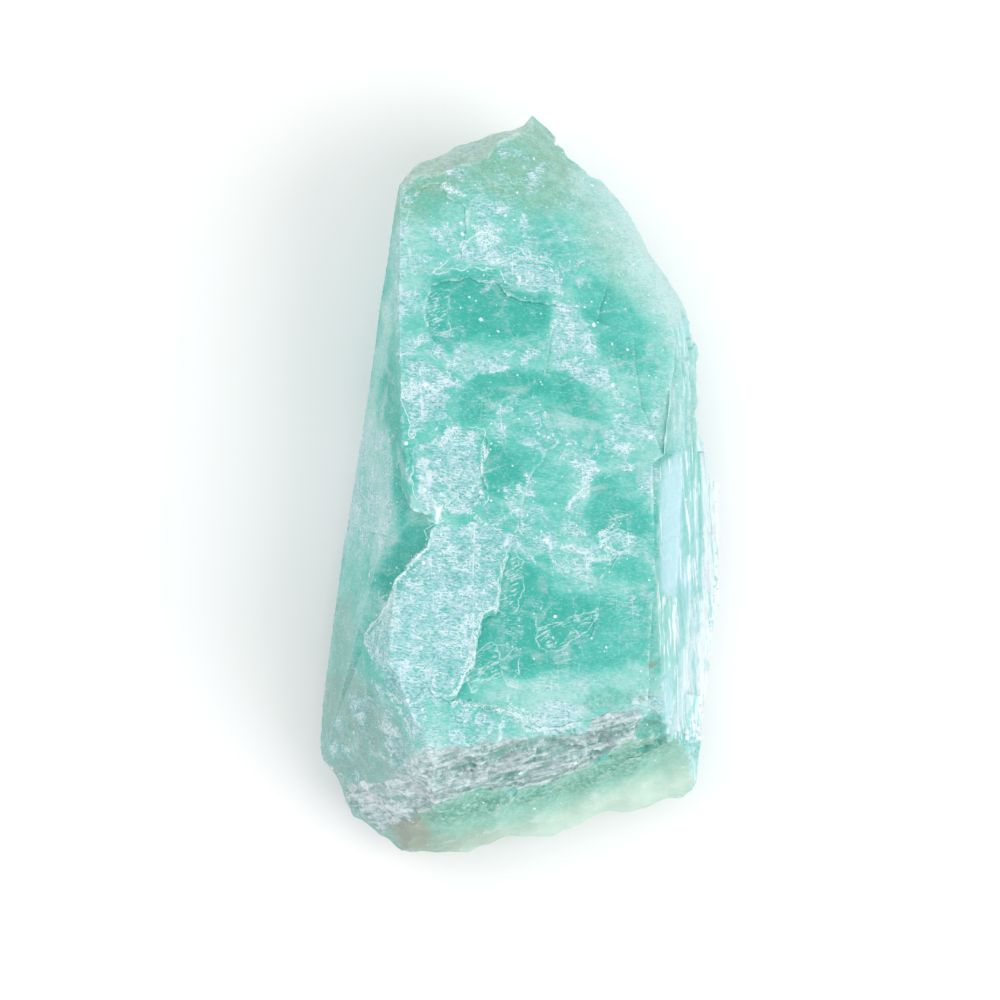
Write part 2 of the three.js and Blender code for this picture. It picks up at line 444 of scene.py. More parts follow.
FACES = (
    Face("main", (0, 0, 21.0), 28, 9.6, Break.CLEAVAGE, (26, 47)),
    Face("shoulder", (6.0, 21.0, 18.45), 33, 15, Break.WORN, (22, 26)),
    Face("brow", (8.0, 23.4, 17.65), 34, 25, Break.WORN, (20, 24)),
    Face("temple", (9.5, 25.7, 16.5), 33, 40, Break.WORN, (20, 24)),
    Face("corner", (-13.6, -20.5, 24.2), 207, 58, Break.FRACTURE, (20, 26)),
    Face(
        "bay", (-9.0, -5.0, 22.4), 192, 40, Break.CLEAVAGE, (16, 16),
        outline=(
            (-4.4, 6.2), (-3.6, 4.8), (-2.1, 3.2), (0.1, 2.2), (-0.3, -0.8), (-1.7, -3.5), (-2.7, -5.7),
            (-4.5, -7.2), (-5.0, -9.3), (-6.7, -10.7), (-9.5, -14.5), (-14.0, -22.0), (-30.0, -30.0),
            (-30.0, 12.0),
        ),
    ),
    Face(
        "band", (4.2, -26.4, 22.4), -70, 54, Break.HACKLY, (26, 14),
        outline=(
            (-80.0, -9.4), (-12.0, -9.4), (-3.0, -9.8), (8.0, -8.0), (80.0, -8.0), (80.0, 80.0), (-80.0, 80.0),
        ),
    ),
    Face("back_head", (0, 13, 0), 84, 10, Break.FRACTURE, (24, 30), back=True),
    Face("back_foot", (0, -15, 0), -97, 9, Break.FRACTURE, (24, 27), back=True),
    Face("back_right", (9, 0, 0), 6, 17, Break.WORN, (16, 44), back=True),
    Face("back_left", (-9, -3, 0), 172, 14, Break.CLEAVAGE, (16, 44), back=True),
    Face(
        "ridge_low", (-11.75, 2.0, 22.6), 186, 58, Break.CLEAVAGE, (14, 12),
        outline=((4.0, -5.0), (4.0, 8.0), (1.0, 9.0), (-24.0, 13.0), (-24.0, -5.0)),
    ),
)

RIM = (
    Side("head", (-13.9, 34.6, 15), (1.2, 41.0, 11), 76, 66, Break.FRACTURE),
    Side("crown", (2.0, 41.2, 10), (11.0, 32.2, 10), 66, 50, Break.WORN),
    Side("upper_right", (11.0, 32.2, 10), (17.8, 21.4, 9), 68, 50, Break.WORN),
    Side("right_bend", (17.8, 21.4, 9), (21.0, 8.5, 7), 72, 58, Break.STRIATED),
    Side("right", (21.7, 3.0, 7), (21.7, -11.0, 6), 79, 52, Break.STRIATED),
    Side("lower_right", (21.7, -11.0, 6), (18.9, -33.3, 5), 80, 60, Break.STRIATED),
    Side("foot", (18.9, -33.3, 3.5), (-7.5, -40.4, 6.5), 62, 50, Break.FRACTURE),
    Side("toe", (-7.5, -40.4, 4.5), (-13.8, -39.4, 6), 66, 55, Break.FRACTURE),
    Side("lower_left", (-13.8, -39.4, 6), (-21.7, -30.4, 7), 62, 48, Break.FRACTURE),
    Side("left_foot", (-21.9, -29.4, 5.2), (-21.8, -24.0, 5.2), 68, 56, Break.WORN),
    Side("left_low", (-21.7, -25.0, 4.6), (-18.7, -4.0, 4.6), 72, 60, Break.CLEAVAGE, ends=(-60, 10.65)),
    Side("left_high", (-18.7, -4.0, 4.6), (-12.9, 34.0, 19.5), 72, 74, Break.CLEAVAGE, ends=(-19.35, 60)),
)

LEDGES = (
    Ledge("main", 0.13, (
        (-9.5, 22.6), (-8.1, 23.1), (-6.5, 23.2), (-5.4, 23.6), (-3.8, 23.0), (-2.2, 22.9), (-1.3, 21.6),
        (0.0, 21.1), (1.6, 20.9), (3.9, 20.8), (3.6, 17.3), (3.1, 14.6), (2.5, 12.9), (0.0, 11.4),
        (-4.3, 10.8), (-7.8, 13.3), (-9.7, 17.3), (-10.2, 20.0),
    ), fall=(0.0, 0.018), throw=0.1),
    Ledge("main", 0.22, (
        (-0.9, -5.9), (-1.5, -7.7), (-2.2, -10.3), (-2.5, -13.3), (-3.8, -13.7), (-4.5, -15.9),
        (-5.0, -19.1), (-6.2, -21.1), (-7.4, -22.8), (-4.9, -22.6), (-3.2, -23.7), (-0.9, -23.8),
        (2.2, -25.6), (8.6, -24.5), (13.8, -22.2), (14.3, -14.6), (14.6, -3.8), (13.0, 1.6), (8.6, 4.9),
        (4.3, 5.9), (1.1, 1.6),
    ), fall=(-0.022, -0.006), throw=0.2),
    Ledge("main", 0.22, (
        (-10.2, -21.2), (-7.3, -23.2), (-4.6, -22.6), (-3.5, -24.0), (-1.1, -24.0), (2.0, -26.2),
        (6.0, -25.6), (6.0, -34.0), (-14.0, -34.0), (-12.8, -24.6),
    ), fall=(-0.01, -0.02), throw=0.22),
    Ledge("main", 0.35, (
        (8.4, 19.0), (12.4, 17.6), (13.2, 9.6), (15.6, 4.4), (16.4, 11.6), (17.4, 17.0), (15.4, 24.0),
        (10.2, 25.6),
    ), throw=0.08),
    Ledge("main", 0.08, (
        (-10.3, 33.4), (-8.6, 33.8), (-7.9, 32.4), (-7.0, 31.9), (-6.3, 31.7), (-5.8, 31.2),
        (-5.9, 28.1), (-6.3, 25.4), (-8.6, 24.1), (-11.4, 24.1), (-12.1, 28.6), (-11.7, 31.9),
    ), fall=(0.006, 0.006), throw=0.12),
    Ledge("main", 0.08, (
        (3.9, 20.6), (3.6, 17.8), (3.1, 15.1), (2.8, 13.3), (4.5, 12.0), (7.0, 13.5), (8.9, 15.7),
        (8.6, 18.9), (7.0, 20.4),
    ), fall=(-0.04, 0.0), throw=0.05),
    Ledge("main", 0.14, (
        (-1.0, -17.3), (0.0, -18.1), (-0.1, -19.4), (-0.3, -20.4), (0.1, -21.9), (-0.9, -21.3),
        (-1.5, -20.3), (-1.8, -19.4), (-2.4, -19.1),
    ), fall=(-0.03, 0.02), throw=0.08),
    Ledge("main", 0.12, (
        (1.5, -14.2), (2.7, -14.8), (4.3, -15.0), (6.3, -14.2), (8.0, -13.7), (7.8, -15.5), (6.3, -17.0),
        (4.5, -18.5), (3.5, -18.1), (2.5, -16.5),
    ), fall=(0.01, 0.02), throw=0.12),
    Ledge("main", 0.12, (
        (3.6, -6.8), (5.6, -5.9), (7.4, -6.6), (9.1, -5.7), (10.8, -6.5), (9.9, -8.1), (8.6, -9.2),
        (8.0, -11.4), (6.5, -10.7), (5.0, -9.4),
    ), fall=(-0.01, 0.03), throw=0.15),
    Ledge("main", 0.07, (
        (-11.7, 3.6), (-9.7, 5.3), (-8.0, 6.4), (-5.8, 6.6), (-3.5, 5.9), (-3.8, 3.6), (-4.1, 2.1),
        (-3.6, 0.5), (-5.4, -1.6), (-7.8, -2.2), (-9.7, -1.2), (-11.5, 0.8),
    ), fall=(0.008, 0.0), throw=0.25),
    Ledge("main", 1.5, (
        (14.4, 3.4), (15.7, 4.4), (16.5, 11.4), (17.2, 17.0), (24.0, 20.0), (24.0, -30.0), (13.8, -30.0),
        (14.0, -18.0), (14.7, -9.0),
    ), throw=0.05),
    Ledge("main", 3.1, (
        (17.9, 3.2), (18.3, 11.4), (18.0, 16.6), (26.0, 18.0), (26.0, -30.0), (16.6, -30.0),
        (17.2, -15.0), (17.5, -6.0),
    ), throw=0.06),
    Ledge("main", 6.0, (
        (19.3, 16.0), (19.0, 5.8), (19.2, -7.0), (18.8, -17.5), (17.9, -26.5), (28.0, -26.5),
        (28.0, 16.0),
    ), throw=0.06),
    Ledge("main", 9.2, (
        (20.3, 5.4), (20.5, -4.0), (20.1, -14.0), (19.2, -21.5), (30.0, -21.5), (30.0, 5.4),
    ), throw=0.06),
)

# Corners broken out of the rim right through, in X and Y.
BREAKS: tuple[Outline, ...] = (
    ((19.2, 6.6), (19.9, 5.6), (20.6, 3.6), (20.9, 1.4), (26.0, 0.0), (26.0, 20.0), (19.9, 20.0), (19.1, 12.0)),
    ((3.9, 38.6), (5.2, 37.0), (7.1, 35.6), (9.4, 33.9), (11.4, 32.4), (14.0, 36.0), (5.0, 44.0)),
)


def pick_none() -> None:
    """Deselects everything."""
    bpy.ops.object.select_all(action="DESELECT")


def pick_only(piece: bpy.types.Object) -> None:
    """Makes a piece the only selected object, and the active one.

    Args:
        piece: The piece.
    """
    pick_none()
    piece.select_set(True)
    bpy.context.view_layer.objects.active = piece


def places_of(mesh: bpy.types.Mesh) -> np.ndarray:
    """The places of a mesh's vertices, one row each.

    Args:
        mesh: The mesh.

    Returns:
        The places in three columns.
    """
    flat = np.empty(len(mesh.vertices) * 3, dtype=np.float64)
    mesh.vertices.foreach_get("co", flat)
    return flat.reshape(-1, 3)


def move_to(mesh: bpy.types.Mesh, places: np.ndarray) -> None:
    """Moves a mesh's vertices to new places."""
    mesh.vertices.foreach_set("co", places.astype(np.float32).ravel())
    mesh.update()


def ragged(outline: Outline, seed: float, throw: float = EDGE_THROW_MM) -> np.ndarray:
    """An outline broken into short uneven steps.

    Args:
        outline: Its corners.
        seed: Picks one pattern.
        throw: How far a step stands to the side.

    Returns:
        The corners of the uneven outline, one row each.
    """
    corners = np.array(outline, dtype=np.float64)
    rows = []
    for start, end in zip(corners, np.roll(corners, -1, axis=0)):
        length = float(np.hypot(*(end - start)))
        count = max(1, round(length / EDGE_STEP_MM))
        share = np.arange(count)[:, None] / count
        line = start + (end - start) * share
        aside = np.array((start[1] - end[1], end[0] - start[0])) / length
        wander = throw * swells(line[:, 0], line[:, 1], EDGE_SWELL_MM, seed, EDGE_OCTAVES)
        wander *= np.sin(math.pi * share[:, 0]) ** CORNER_FADE
        rows.append(line + wander[:, None] * aside)
    return np.vstack(rows)


def slab(sheet: Sheet, low: Span, high: Span, ends: Span | None = None) -> bpy.types.Object:
    """What lies outside an uneven surface: a tall pyramid whose base is that surface.

    Args:
        sheet: The surface.
        low: Where the finely meshed part of the base starts, along and across.
        high: Where it ends.
        ends: Between what the pyramid reaches along the surface, if not far past it.

    Returns:
        The closed pyramid.
    """
    counts = [max(2, round((b - a) / sheet.relief.cell)) for a, b in zip(low, high)]
    bpy.ops.mesh.primitive_grid_add(x_subdivisions=counts[0], y_subdivisions=counts[1], size=2)
    cutter = bpy.context.object
    bpy.ops.object.mode_set(mode="EDIT")
    bpy.ops.mesh.select_all(action="SELECT")
    bpy.ops.mesh.extrude_region_move(TRANSFORM_OT_translate={"value": (0, 0, APEX_MM)})
    bpy.ops.mesh.merge(type="CENTER")
    bpy.ops.object.mode_set(mode="OBJECT")
    mesh = cutter.data
    places = places_of(mesh)
    base = places[:, 2] < APEX_MM / 2
    u = low[0] + (places[:, 0] + 1) / 2 * (high[0] - low[0])
    v = low[1] + (places[:, 1] + 1) / 2 * (high[1] - low[1])
    level = sheet.level(u, v)
    rim_u, rim_v = (np.abs(places[:, axis]) > 1 - NEARLY for axis in (0, 1))
    reach_u = ends or (-FAR_MM, FAR_MM)
    u = np.where(rim_u, np.where(places[:, 0] < 0, reach_u[0], reach_u[1]), u)
    v = np.where(rim_v, np.sign(places[:, 1]) * FAR_MM, v)
    apex_u = next((end for end in reach_u if abs(end) < FAR_MM / 2), 0.0)
    moved = np.stack((u, v, level), axis=1)
    moved[~base] = (apex_u, 0.0, APEX_MM)
    move_to(mesh, moved)
    mesh.transform(sheet.plane.matrix())
    make_outward(cutter)
    return cutter


def make_outward(piece: bpy.types.Object) -> None:
    """Turns all of a closed piece's faces outwards.

    Args:
        piece: The piece.
    """
    pick_only(piece)
    bpy.ops.object.mode_set(mode="EDIT")
    bpy.ops.mesh.select_all(action="SELECT")
    bpy.ops.mesh.normals_make_consistent(inside=False)
    bpy.ops.object.mode_set(mode="OBJECT")


def prism(plane: Plane, corners: np.ndarray, low: float, high: float) -> bpy.types.Object:
    """A straight column over an outline.

    Args:
        plane: What the outline is drawn on.
        corners: The outline's corners.
        low: Where the column starts, out of the plane.
        high: Where it ends.

    Returns:
        The closed column.
    """
    bpy.ops.mesh.primitive_circle_add(vertices=len(corners), radius=1, fill_type="NGON")
    column = bpy.context.object
    move_to(column.data, np.column_stack((corners, np.full(len(corners), low))))
    bpy.ops.object.mode_set(mode="EDIT")
    bpy.ops.mesh.select_all(action="SELECT")
    bpy.ops.mesh.extrude_region_move(TRANSFORM_OT_translate={"value": (0, 0, high - low)})
    bpy.ops.object.mode_set(mode="OBJECT")
    column.data.transform(plane.matrix())
    make_outward(column)
    return column


def keep_common(piece: bpy.types.Object, tool: bpy.types.Object) -> None:
    """Keeps only what a piece shares with a tool, and takes the tool away.

    Args:
        piece: The piece.
        tool: What it is compared with.
    """
    modifier = piece.modifiers.new("common", "BOOLEAN")
    modifier.operation = "INTERSECT"
    modifier.solver = "MANIFOLD"
    modifier.object = tool
    pick_only(piece)
    bpy.ops.object.modifier_apply(modifier=modifier.name)
    bpy.data.objects.remove(tool, do_unlink=True)


def cut_by_all(piece: bpy.types.Object, cutters: list[bpy.types.Object]) -> None:
    """Cuts a piece by several cutters at once, and takes them away.

    Args:
        piece: The piece.
        cutters: What is cut away from it.
    """
    bench = bpy.data.collections.new("cutters")
    for cutter in cutters:
        bench.objects.link(cutter)
    modifier = piece.modifiers.new("cut", "BOOLEAN")
    modifier.operation = "DIFFERENCE"
    modifier.solver = "MANIFOLD"
    modifier.operand_type = "COLLECTION"
    modifier.collection = bench
    pick_only(piece)
    bpy.ops.object.modifier_apply(modifier=modifier.name)
    for cutter in cutters:
        bpy.data.objects.remove(cutter, do_unlink=True)
    bpy.data.collections.remove(bench)


def cut_flat(piece: bpy.types.Object, height: float) -> None:
    """Grinds everything below a height away, and closes the flat spot that is left.

    Args:
        piece: The piece.
        height: The height of the flat spot.
    """
    pick_only(piece)
    bpy.ops.object.mode_set(mode="EDIT")
    bpy.ops.mesh.select_all(action="SELECT")
    bpy.ops.mesh.bisect(plane_co=(0, 0, height), plane_no=(0, 0, 1), use_fill=True, clear_inner=True)
    bpy.ops.object.mode_set(mode="OBJECT")


def ends_of(mesh: bpy.types.Mesh) -> tuple[np.ndarray, np.ndarray]:
    """The two vertices of each of a mesh's edges.

    Args:
        mesh: The mesh.

    Returns:
        The edges' first vertices and their second ones.
    """
    flat = np.empty(len(mesh.edges) * 2, dtype=np.int64)
    mesh.edges.foreach_get("vertices", flat)
    return flat[0::2], flat[1::2]


def gather(mesh: bpy.types.Mesh, first: np.ndarray, second: np.ndarray) -> np.ndarray:
    """The mean at each vertex of what its edges bring to it.

    Args:
        mesh: The mesh.
        first: What each edge brings to its first vertex.
        second: What each edge brings to its second vertex.

    Returns:
        One mean for each vertex.
    """
    a, b = ends_of(mesh)
    size = len(mesh.vertices)
    total = np.bincount(a, weights=first, minlength=size) + np.bincount(b, weights=second, minlength=size)
    count = np.bincount(a, minlength=size) + np.bincount(b, minlength=size)
    return total / np.maximum(count, 1)


def spread(mesh: bpy.types.Mesh, values: np.ndarray, rounds: int) -> np.ndarray:
    """Averages values at the vertices with their neighbours' values, a number of times.

    Args:
        mesh: The mesh.
        values: One value for each vertex.
        rounds: How many times.

    Returns:
        The averaged values.
    """
    a, b = ends_of(mesh)
    for _ in range(rounds):
        values = 0.5 * values + 0.5 * gather(mesh, values[b], values[a])
    return values


def normals_of(mesh: bpy.types.Mesh) -> np.ndarray:
    """The mean normals at a mesh's vertices, one row each.

    Args:
        mesh: The mesh.

    Returns:
        The normals in three columns.
    """
    flat = np.empty(len(mesh.vertices) * 3, dtype=np.float32)
    mesh.vertex_normals.foreach_get("vector", flat)
    return flat.reshape(-1, 3).astype(float)


def note(mesh: bpy.types.Mesh, name: str, values: np.ndarray) -> None:
    """Keeps a value for each vertex, for the finish to read."""
    layer = mesh.attributes.new(name, "FLOAT", "POINT")
    layer.data.foreach_set("value", values.astype(np.float32))


def inside_by(x: np.ndarray, y: np.ndarray, outline: Outline) -> np.ndarray:
    """How far inside an outline each place lies, negative outside.

    Args:
        x: How far to the right each place lies.
        y: How far back it lies.
        outline: The corners of the outline.

    Returns:
        One distance for each place.
    """
    corners = np.array(outline, dtype=float)
    nearest = np.full_like(x, np.inf)
    within = np.zeros(len(x), dtype=bool)
    for (ax, ay), (bx, by) in zip(corners, np.roll(corners, -1, axis=0)):
        length = (bx - ax) ** 2 + (by - ay) ** 2
        along = np.clip(((x - ax) * (bx - ax) + (y - ay) * (by - ay)) / length, 0, 1)
        nearest = np.minimum(nearest, np.hypot(x - ax - along * (bx - ax), y - ay - along * (by - ay)))
        if ay != by:
            crosses = (ay > y) != (by > y)
            within ^= crosses & (x < ax + (y - ay) / (by - ay) * (bx - ax))
    return np.where(within, nearest, -nearest)


# The patches are drawn on squared paper over the stone seen from above: squares across from the left, and down
# from the top. The middle of the paper lies over this place, and corners are taken to this many decimals.
SQUARES_PER_MM = 9.345
PAPER_MIDDLE = 500
MIDDLE_AT_MM = (-2.162, -1.62)
DECIMALS = 1


@dataclass(frozen=True)
class Zone:
    """A patch of the upper side that looks different, seen from above.

    Args:
        outline: Its outline, in squares of the paper.
        amount: How much of its trait there is within it. Past 1 the trait is solid.
        soft: Half the width that its edge fades over, in squares.
    """

    outline: tuple[tuple[int, int], ...]
    amount: float = 1.0
    soft: float = 1.0

    def inside(self, x: np.ndarray, y: np.ndarray) -> np.ndarray:
        """How far inside the outline each place lies, in millimetres, negative outside.

        Args:
            x: How far to the right each place lies.
            y: How far back it lies.

        Returns:
            One distance for each place.
        """
        corners = tuple(
            (round(MIDDLE_AT_MM[0] + (across - PAPER_MIDDLE) / SQUARES_PER_MM, DECIMALS),
             round(MIDDLE_AT_MM[1] - (down - PAPER_MIDDLE) / SQUARES_PER_MM, DECIMALS))
            for across, down in self.outline
        )
        return inside_by(x, y, corners)

    def share(self, x: np.ndarray, y: np.ndarray) -> np.ndarray:
        """How much of the trait there is at each place."""
        fade = round(2 * self.soft / SQUARES_PER_MM, DECIMALS)
        return self.amount * smooth(self.inside(x, y) / fade + 0.5)


ZONES: dict[str, tuple[Zone, ...]] = {
    "frost": (
        Zone(((426, 530), (429, 546), (415, 560), (400, 575), (391, 589), (388, 605), (382, 617), (367, 631),
              (361, 648), (370, 663), (380, 672), (388, 690), (396, 708), (410, 704), (432, 690), (449, 697),
              (455, 695), (463, 680), (474, 662), (478, 632), (485, 612), (497, 608), (500, 580), (508, 553),
              (524, 545), (520, 525), (500, 530), (480, 520), (450, 520), (436, 524))),
        Zone(((412, 447), (430, 436), (445, 426), (465, 424), (487, 430), (485, 450), (482, 465), (487, 480),
              (488, 500), (470, 524), (450, 520), (436, 524), (424, 512), (413, 495))),
        Zone(((400, 352), (428, 356), (450, 372), (464, 380), (452, 392), (452, 424), (430, 431), (417, 430),
              (412, 444), (409, 425), (402, 400))),
        Zone(((450, 256), (464, 242), (480, 232), (500, 238), (514, 248), (532, 256), (560, 266), (566, 280),
              (556, 292), (535, 290), (520, 288), (508, 283), (500, 271), (485, 270), (470, 265), (460, 268),
              (445, 270), (432, 274))),
    ),
    "haze": (
        Zone(((398, 330), (430, 336), (450, 352), (470, 345), (490, 352), (540, 350), (552, 366), (540, 372),
              (500, 372), (470, 378), (450, 372), (428, 356), (398, 356)), amount=0.6, soft=3),
        Zone(((555, 298), (580, 310), (596, 335), (608, 372), (612, 392), (590, 388), (566, 372), (548, 366),
              (552, 330)), amount=0.7, soft=3),
        Zone(((425, 225), (450, 215), (470, 200), (510, 205), (545, 225), (580, 255), (590, 285), (560, 295),
              (520, 288), (480, 264), (440, 272), (420, 262)), amount=0.38, soft=4),
        Zone(((500, 150), (540, 160), (560, 190), (572, 230), (560, 250), (545, 215), (520, 190),
              (490, 175)), amount=0.36, soft=4),
        Zone(((447, 150), (470, 140), (474, 175), (455, 195), (445, 182)), amount=0.3, soft=4),
        Zone(((500, 405), (530, 408), (560, 405), (580, 430), (600, 440), (612, 470), (590, 476), (560, 462),
              (530, 455), (510, 440), (490, 440), (494, 420)), amount=0.32, soft=3),
        Zone(((600, 432), (625, 424), (644, 432), (648, 450), (632, 462), (608, 456),
              (596, 445)), amount=0.6, soft=3),
        Zone(((580, 460), (600, 466), (594, 482), (590, 502), (574, 514), (564, 510), (572, 494),
              (582, 480)), amount=0.45, soft=3),
        Zone(((556, 512), (570, 520), (590, 540), (612, 555), (610, 566), (585, 558), (598, 580), (596, 600),
              (580, 592), (566, 575), (552, 568), (545, 545), (560, 535)), amount=0.5, soft=3),
        Zone(((600, 536), (622, 530), (646, 540), (652, 560), (648, 570), (632, 552),
              (612, 552)), amount=0.5, soft=3),
        Zone(((396, 706), (432, 688), (455, 697), (487, 706), (509, 708), (540, 726), (600, 716), (655, 690),
              (690, 700), (690, 722), (640, 708), (596, 730), (560, 738), (500, 742), (440, 752),
              (416, 742)), amount=0.5, soft=3),
        Zone(((500, 470), (540, 500), (560, 540), (530, 560), (510, 545), (520, 520),
              (500, 500)), amount=0.55, soft=4),
        Zone(((350, 430), (372, 420), (395, 440), (398, 520), (385, 560), (345, 560),
              (342, 500)), amount=0.46, soft=8),
        Zone(((372, 590), (402, 590), (398, 612), (380, 606)), amount=0.5, soft=4),
        Zone(((360, 672), (386, 690), (398, 720), (408, 745), (400, 770), (370, 760), (352, 730),
              (345, 695)), amount=0.36, soft=6),
        Zone(((325, 700), (345, 720), (360, 770), (395, 800), (385, 822), (352, 800),
              (326, 765)), amount=0.24, soft=8),
        Zone(((395, 215), (425, 240), (420, 290), (410, 330), (396, 330)), amount=0.35, soft=4),
        Zone(((596, 380), (630, 372), (660, 380), (662, 470), (650, 520), (630, 500), (606, 476),
              (612, 430)), amount=0.35, soft=6),
        Zone(((398, 716), (420, 716), (440, 744), (432, 770), (408, 790), (396, 770),
              (404, 745)), amount=0.5, soft=4),
        Zone(((528, 716), (545, 700), (560, 698), (588, 712), (584, 736), (560, 741),
              (540, 734)), amount=0.85, soft=4),
    ),
    "leaf": (
        Zone(((536, 618), (538, 628), (556, 624), (580, 616), (598, 608), (595, 618), (588, 628), (572, 640),
              (556, 650), (550, 652), (540, 646), (534, 640), (536, 631))),
        Zone(((500, 665), (506, 657), (516, 647), (520, 650), (519, 662), (521, 676), (517, 691), (508, 684),
              (503, 674))),
        Zone(((600, 536), (613, 533), (626, 530), (618, 540), (611, 545), (614, 552), (620, 558), (608, 556),
              (603, 548))),
        Zone(((552, 541), (568, 542), (590, 551), (612, 557), (600, 561), (578, 556), (560, 550))),
        Zone(((564, 566), (578, 566), (592, 574), (596, 584), (586, 580), (570, 574))),
        Zone(((498, 578), (507, 546), (514, 548), (524, 560), (525, 590), (520, 606), (505, 612), (497, 611))),
        Zone(((478, 650), (489, 643), (497, 646), (500, 665), (498, 676), (485, 680), (472, 690), (468, 680))),
        Zone(((378, 590), (390, 588), (402, 592), (398, 610), (388, 606), (380, 600))),
        Zone(((425, 298), (440, 286), (452, 292), (448, 312), (452, 330), (438, 336), (424, 322))),
    ),
    "clear": (
        Zone(((432, 278), (445, 274), (470, 270), (500, 277), (520, 294), (550, 297), (546, 325), (530, 334),
              (500, 336), (480, 334), (466, 342), (452, 352), (432, 344), (424, 318)), amount=1.0, soft=5),
        Zone(((572, 284), (600, 276), (626, 290), (646, 330), (648, 365), (626, 372), (604, 352),
              (588, 330)), amount=0.5, soft=5),
        Zone(((458, 398), (480, 374), (520, 370), (545, 376), (556, 394), (530, 398), (500, 398), (486, 418),
              (470, 424), (458, 420)), amount=0.85, soft=5),
        Zone(((560, 385), (590, 392), (604, 404), (590, 424), (570, 416), (556, 402)), amount=0.6, soft=4),
        Zone(((484, 445), (500, 446), (524, 462), (520, 490), (500, 500), (488, 492),
              (484, 470)), amount=0.85, soft=5),
        Zone(((500, 565), (520, 556), (556, 590), (600, 604), (648, 590), (652, 640), (645, 660), (600, 668),
              (540, 672), (476, 676), (478, 640), (486, 616), (500, 610)), amount=0.95, soft=7),
        Zone(((596, 478), (640, 470), (652, 510), (648, 540), (620, 532), (598, 540),
              (584, 520)), amount=0.75, soft=6),
        Zone(((404, 185), (432, 178), (446, 200), (440, 214), (412, 212)), amount=0.6, soft=4),
        Zone(((414, 520), (436, 526), (430, 545), (420, 572), (404, 588), (396, 604), (382, 604), (378, 580),
              (390, 555), (402, 530)), amount=1.0, soft=5),
        Zone(((392, 330), (400, 400), (410, 450), (412, 500), (402, 530), (394, 500), (388, 440),
              (384, 380)), amount=0.7, soft=6),
        Zone(((360, 470), (380, 500), (370, 580), (352, 640), (346, 600), (354, 530)), amount=0.5, soft=6),
    ),
    # Painted glow and light, with some milkier stone: paler along the thin edges that light comes through, over the
    # brightly lit right shoulder, and over the left side that the lamps leave darker.
    "pale": (
        Zone(((400, 190), (428, 215), (430, 250), (412, 290), (400, 330), (392, 330),
              (390, 240)), amount=0.3, soft=8),
        Zone(((548, 140), (600, 165), (660, 240), (704, 330), (706, 440), (672, 440), (662, 360), (640, 310),
              (612, 262), (580, 215), (556, 190)), amount=1.0, soft=34),
        Zone(((590, 165), (640, 215), (680, 280), (704, 330), (706, 440), (688, 440), (682, 360), (664, 300),
              (640, 256), (604, 200)), amount=1.3, soft=14),
        Zone(((620, 300), (660, 330), (680, 420), (660, 440), (640, 420), (646, 370)), amount=0.5, soft=26),
        Zone(((382, 300), (392, 290), (390, 330), (372, 430), (352, 530), (335, 640), (322, 720), (318, 700),
              (340, 560), (360, 440)), amount=0.8, soft=6),
        Zone(((345, 430), (370, 420), (372, 470), (350, 540), (335, 600), (338, 520)), amount=0.6, soft=10),
        Zone(((500, 124), (545, 118), (556, 140), (540, 150), (510, 140)), amount=0.7, soft=6),
        Zone(((612, 590), (652, 580), (660, 640), (655, 680), (630, 684), (606, 640)), amount=0.4, soft=22),
        Zone(((620, 690), (655, 680), (690, 690), (690, 720), (640, 712)), amount=0.7, soft=8),
        Zone(((470, 684), (540, 680), (600, 676), (652, 666), (655, 700), (600, 712), (545, 722), (505, 706),
              (470, 700)), amount=0.5, soft=8),
        Zone(((600, 380), (640, 372), (664, 380), (664, 470), (650, 520), (630, 500),
              (608, 470)), amount=0.3, soft=8),
        Zone(((345, 430), (372, 440), (366, 520), (372, 600), (352, 640), (338, 640),
              (340, 520)), amount=0.5, soft=8),
        Zone(((342, 784), (372, 780), (396, 764), (412, 750), (440, 744), (436, 780), (424, 802), (400, 820),
              (376, 826), (350, 806)), amount=0.9, soft=8),
        Zone(((450, 852), (480, 842), (520, 828), (560, 812), (600, 797), (640, 786), (680, 774), (704, 766),
              (704, 790), (600, 850), (440, 884)), amount=0.85, soft=16),
        Zone(((352, 430), (388, 430), (392, 520), (376, 556), (350, 556)), amount=0.6, soft=12),
    ),
    # Bruised white lines and blots, partly painted highlights on edges that catch the light.
    "white": (
        Zone(((433, 503), (438, 507), (446, 503), (443, 511), (441, 518), (440, 527), (437, 519),
              (435, 511)), amount=1.5, soft=1.2),
        Zone(((428, 486), (431, 489), (436, 503), (434, 504), (430, 495)), amount=0.8, soft=0.6),
        Zone(((446, 505), (460, 509), (478, 515), (498, 523), (500, 526), (478, 519), (460, 513),
              (446, 509)), amount=0.65, soft=0.6),
        Zone(((446, 503), (453, 495), (456, 490), (458, 492), (452, 500), (446, 508)), amount=0.8, soft=0.6),
        Zone(((542, 537), (547, 537), (549, 542), (545, 544)), amount=1.5, soft=0.8),
        Zone(((500, 612), (497, 612), (486, 614), (478, 634), (474, 664), (463, 682), (455, 697), (448, 697),
              (458, 686), (466, 664), (470, 640), (478, 616), (490, 606)), amount=0.9, soft=0.8),
        Zone(((508, 552), (506, 556), (500, 582), (498, 606), (495, 606), (497, 580),
              (504, 554)), amount=0.75, soft=0.8),
        Zone(((441, 436), (450, 428), (460, 426), (452, 434), (444, 446), (440, 450)), amount=0.8, soft=0.7),
        Zone(((481, 448), (486, 440), (488, 452), (484, 466), (486, 480), (480, 470)), amount=0.7, soft=0.8),
        Zone(((416, 458), (424, 456), (428, 464), (428, 474), (422, 468), (416, 466)), amount=0.7, soft=0.6),
        Zone(((592, 463), (596, 467), (590, 480), (589, 491), (585, 500), (576, 502), (567, 510), (566, 507),
              (576, 497), (584, 490), (586, 478)), amount=0.75, soft=0.5),
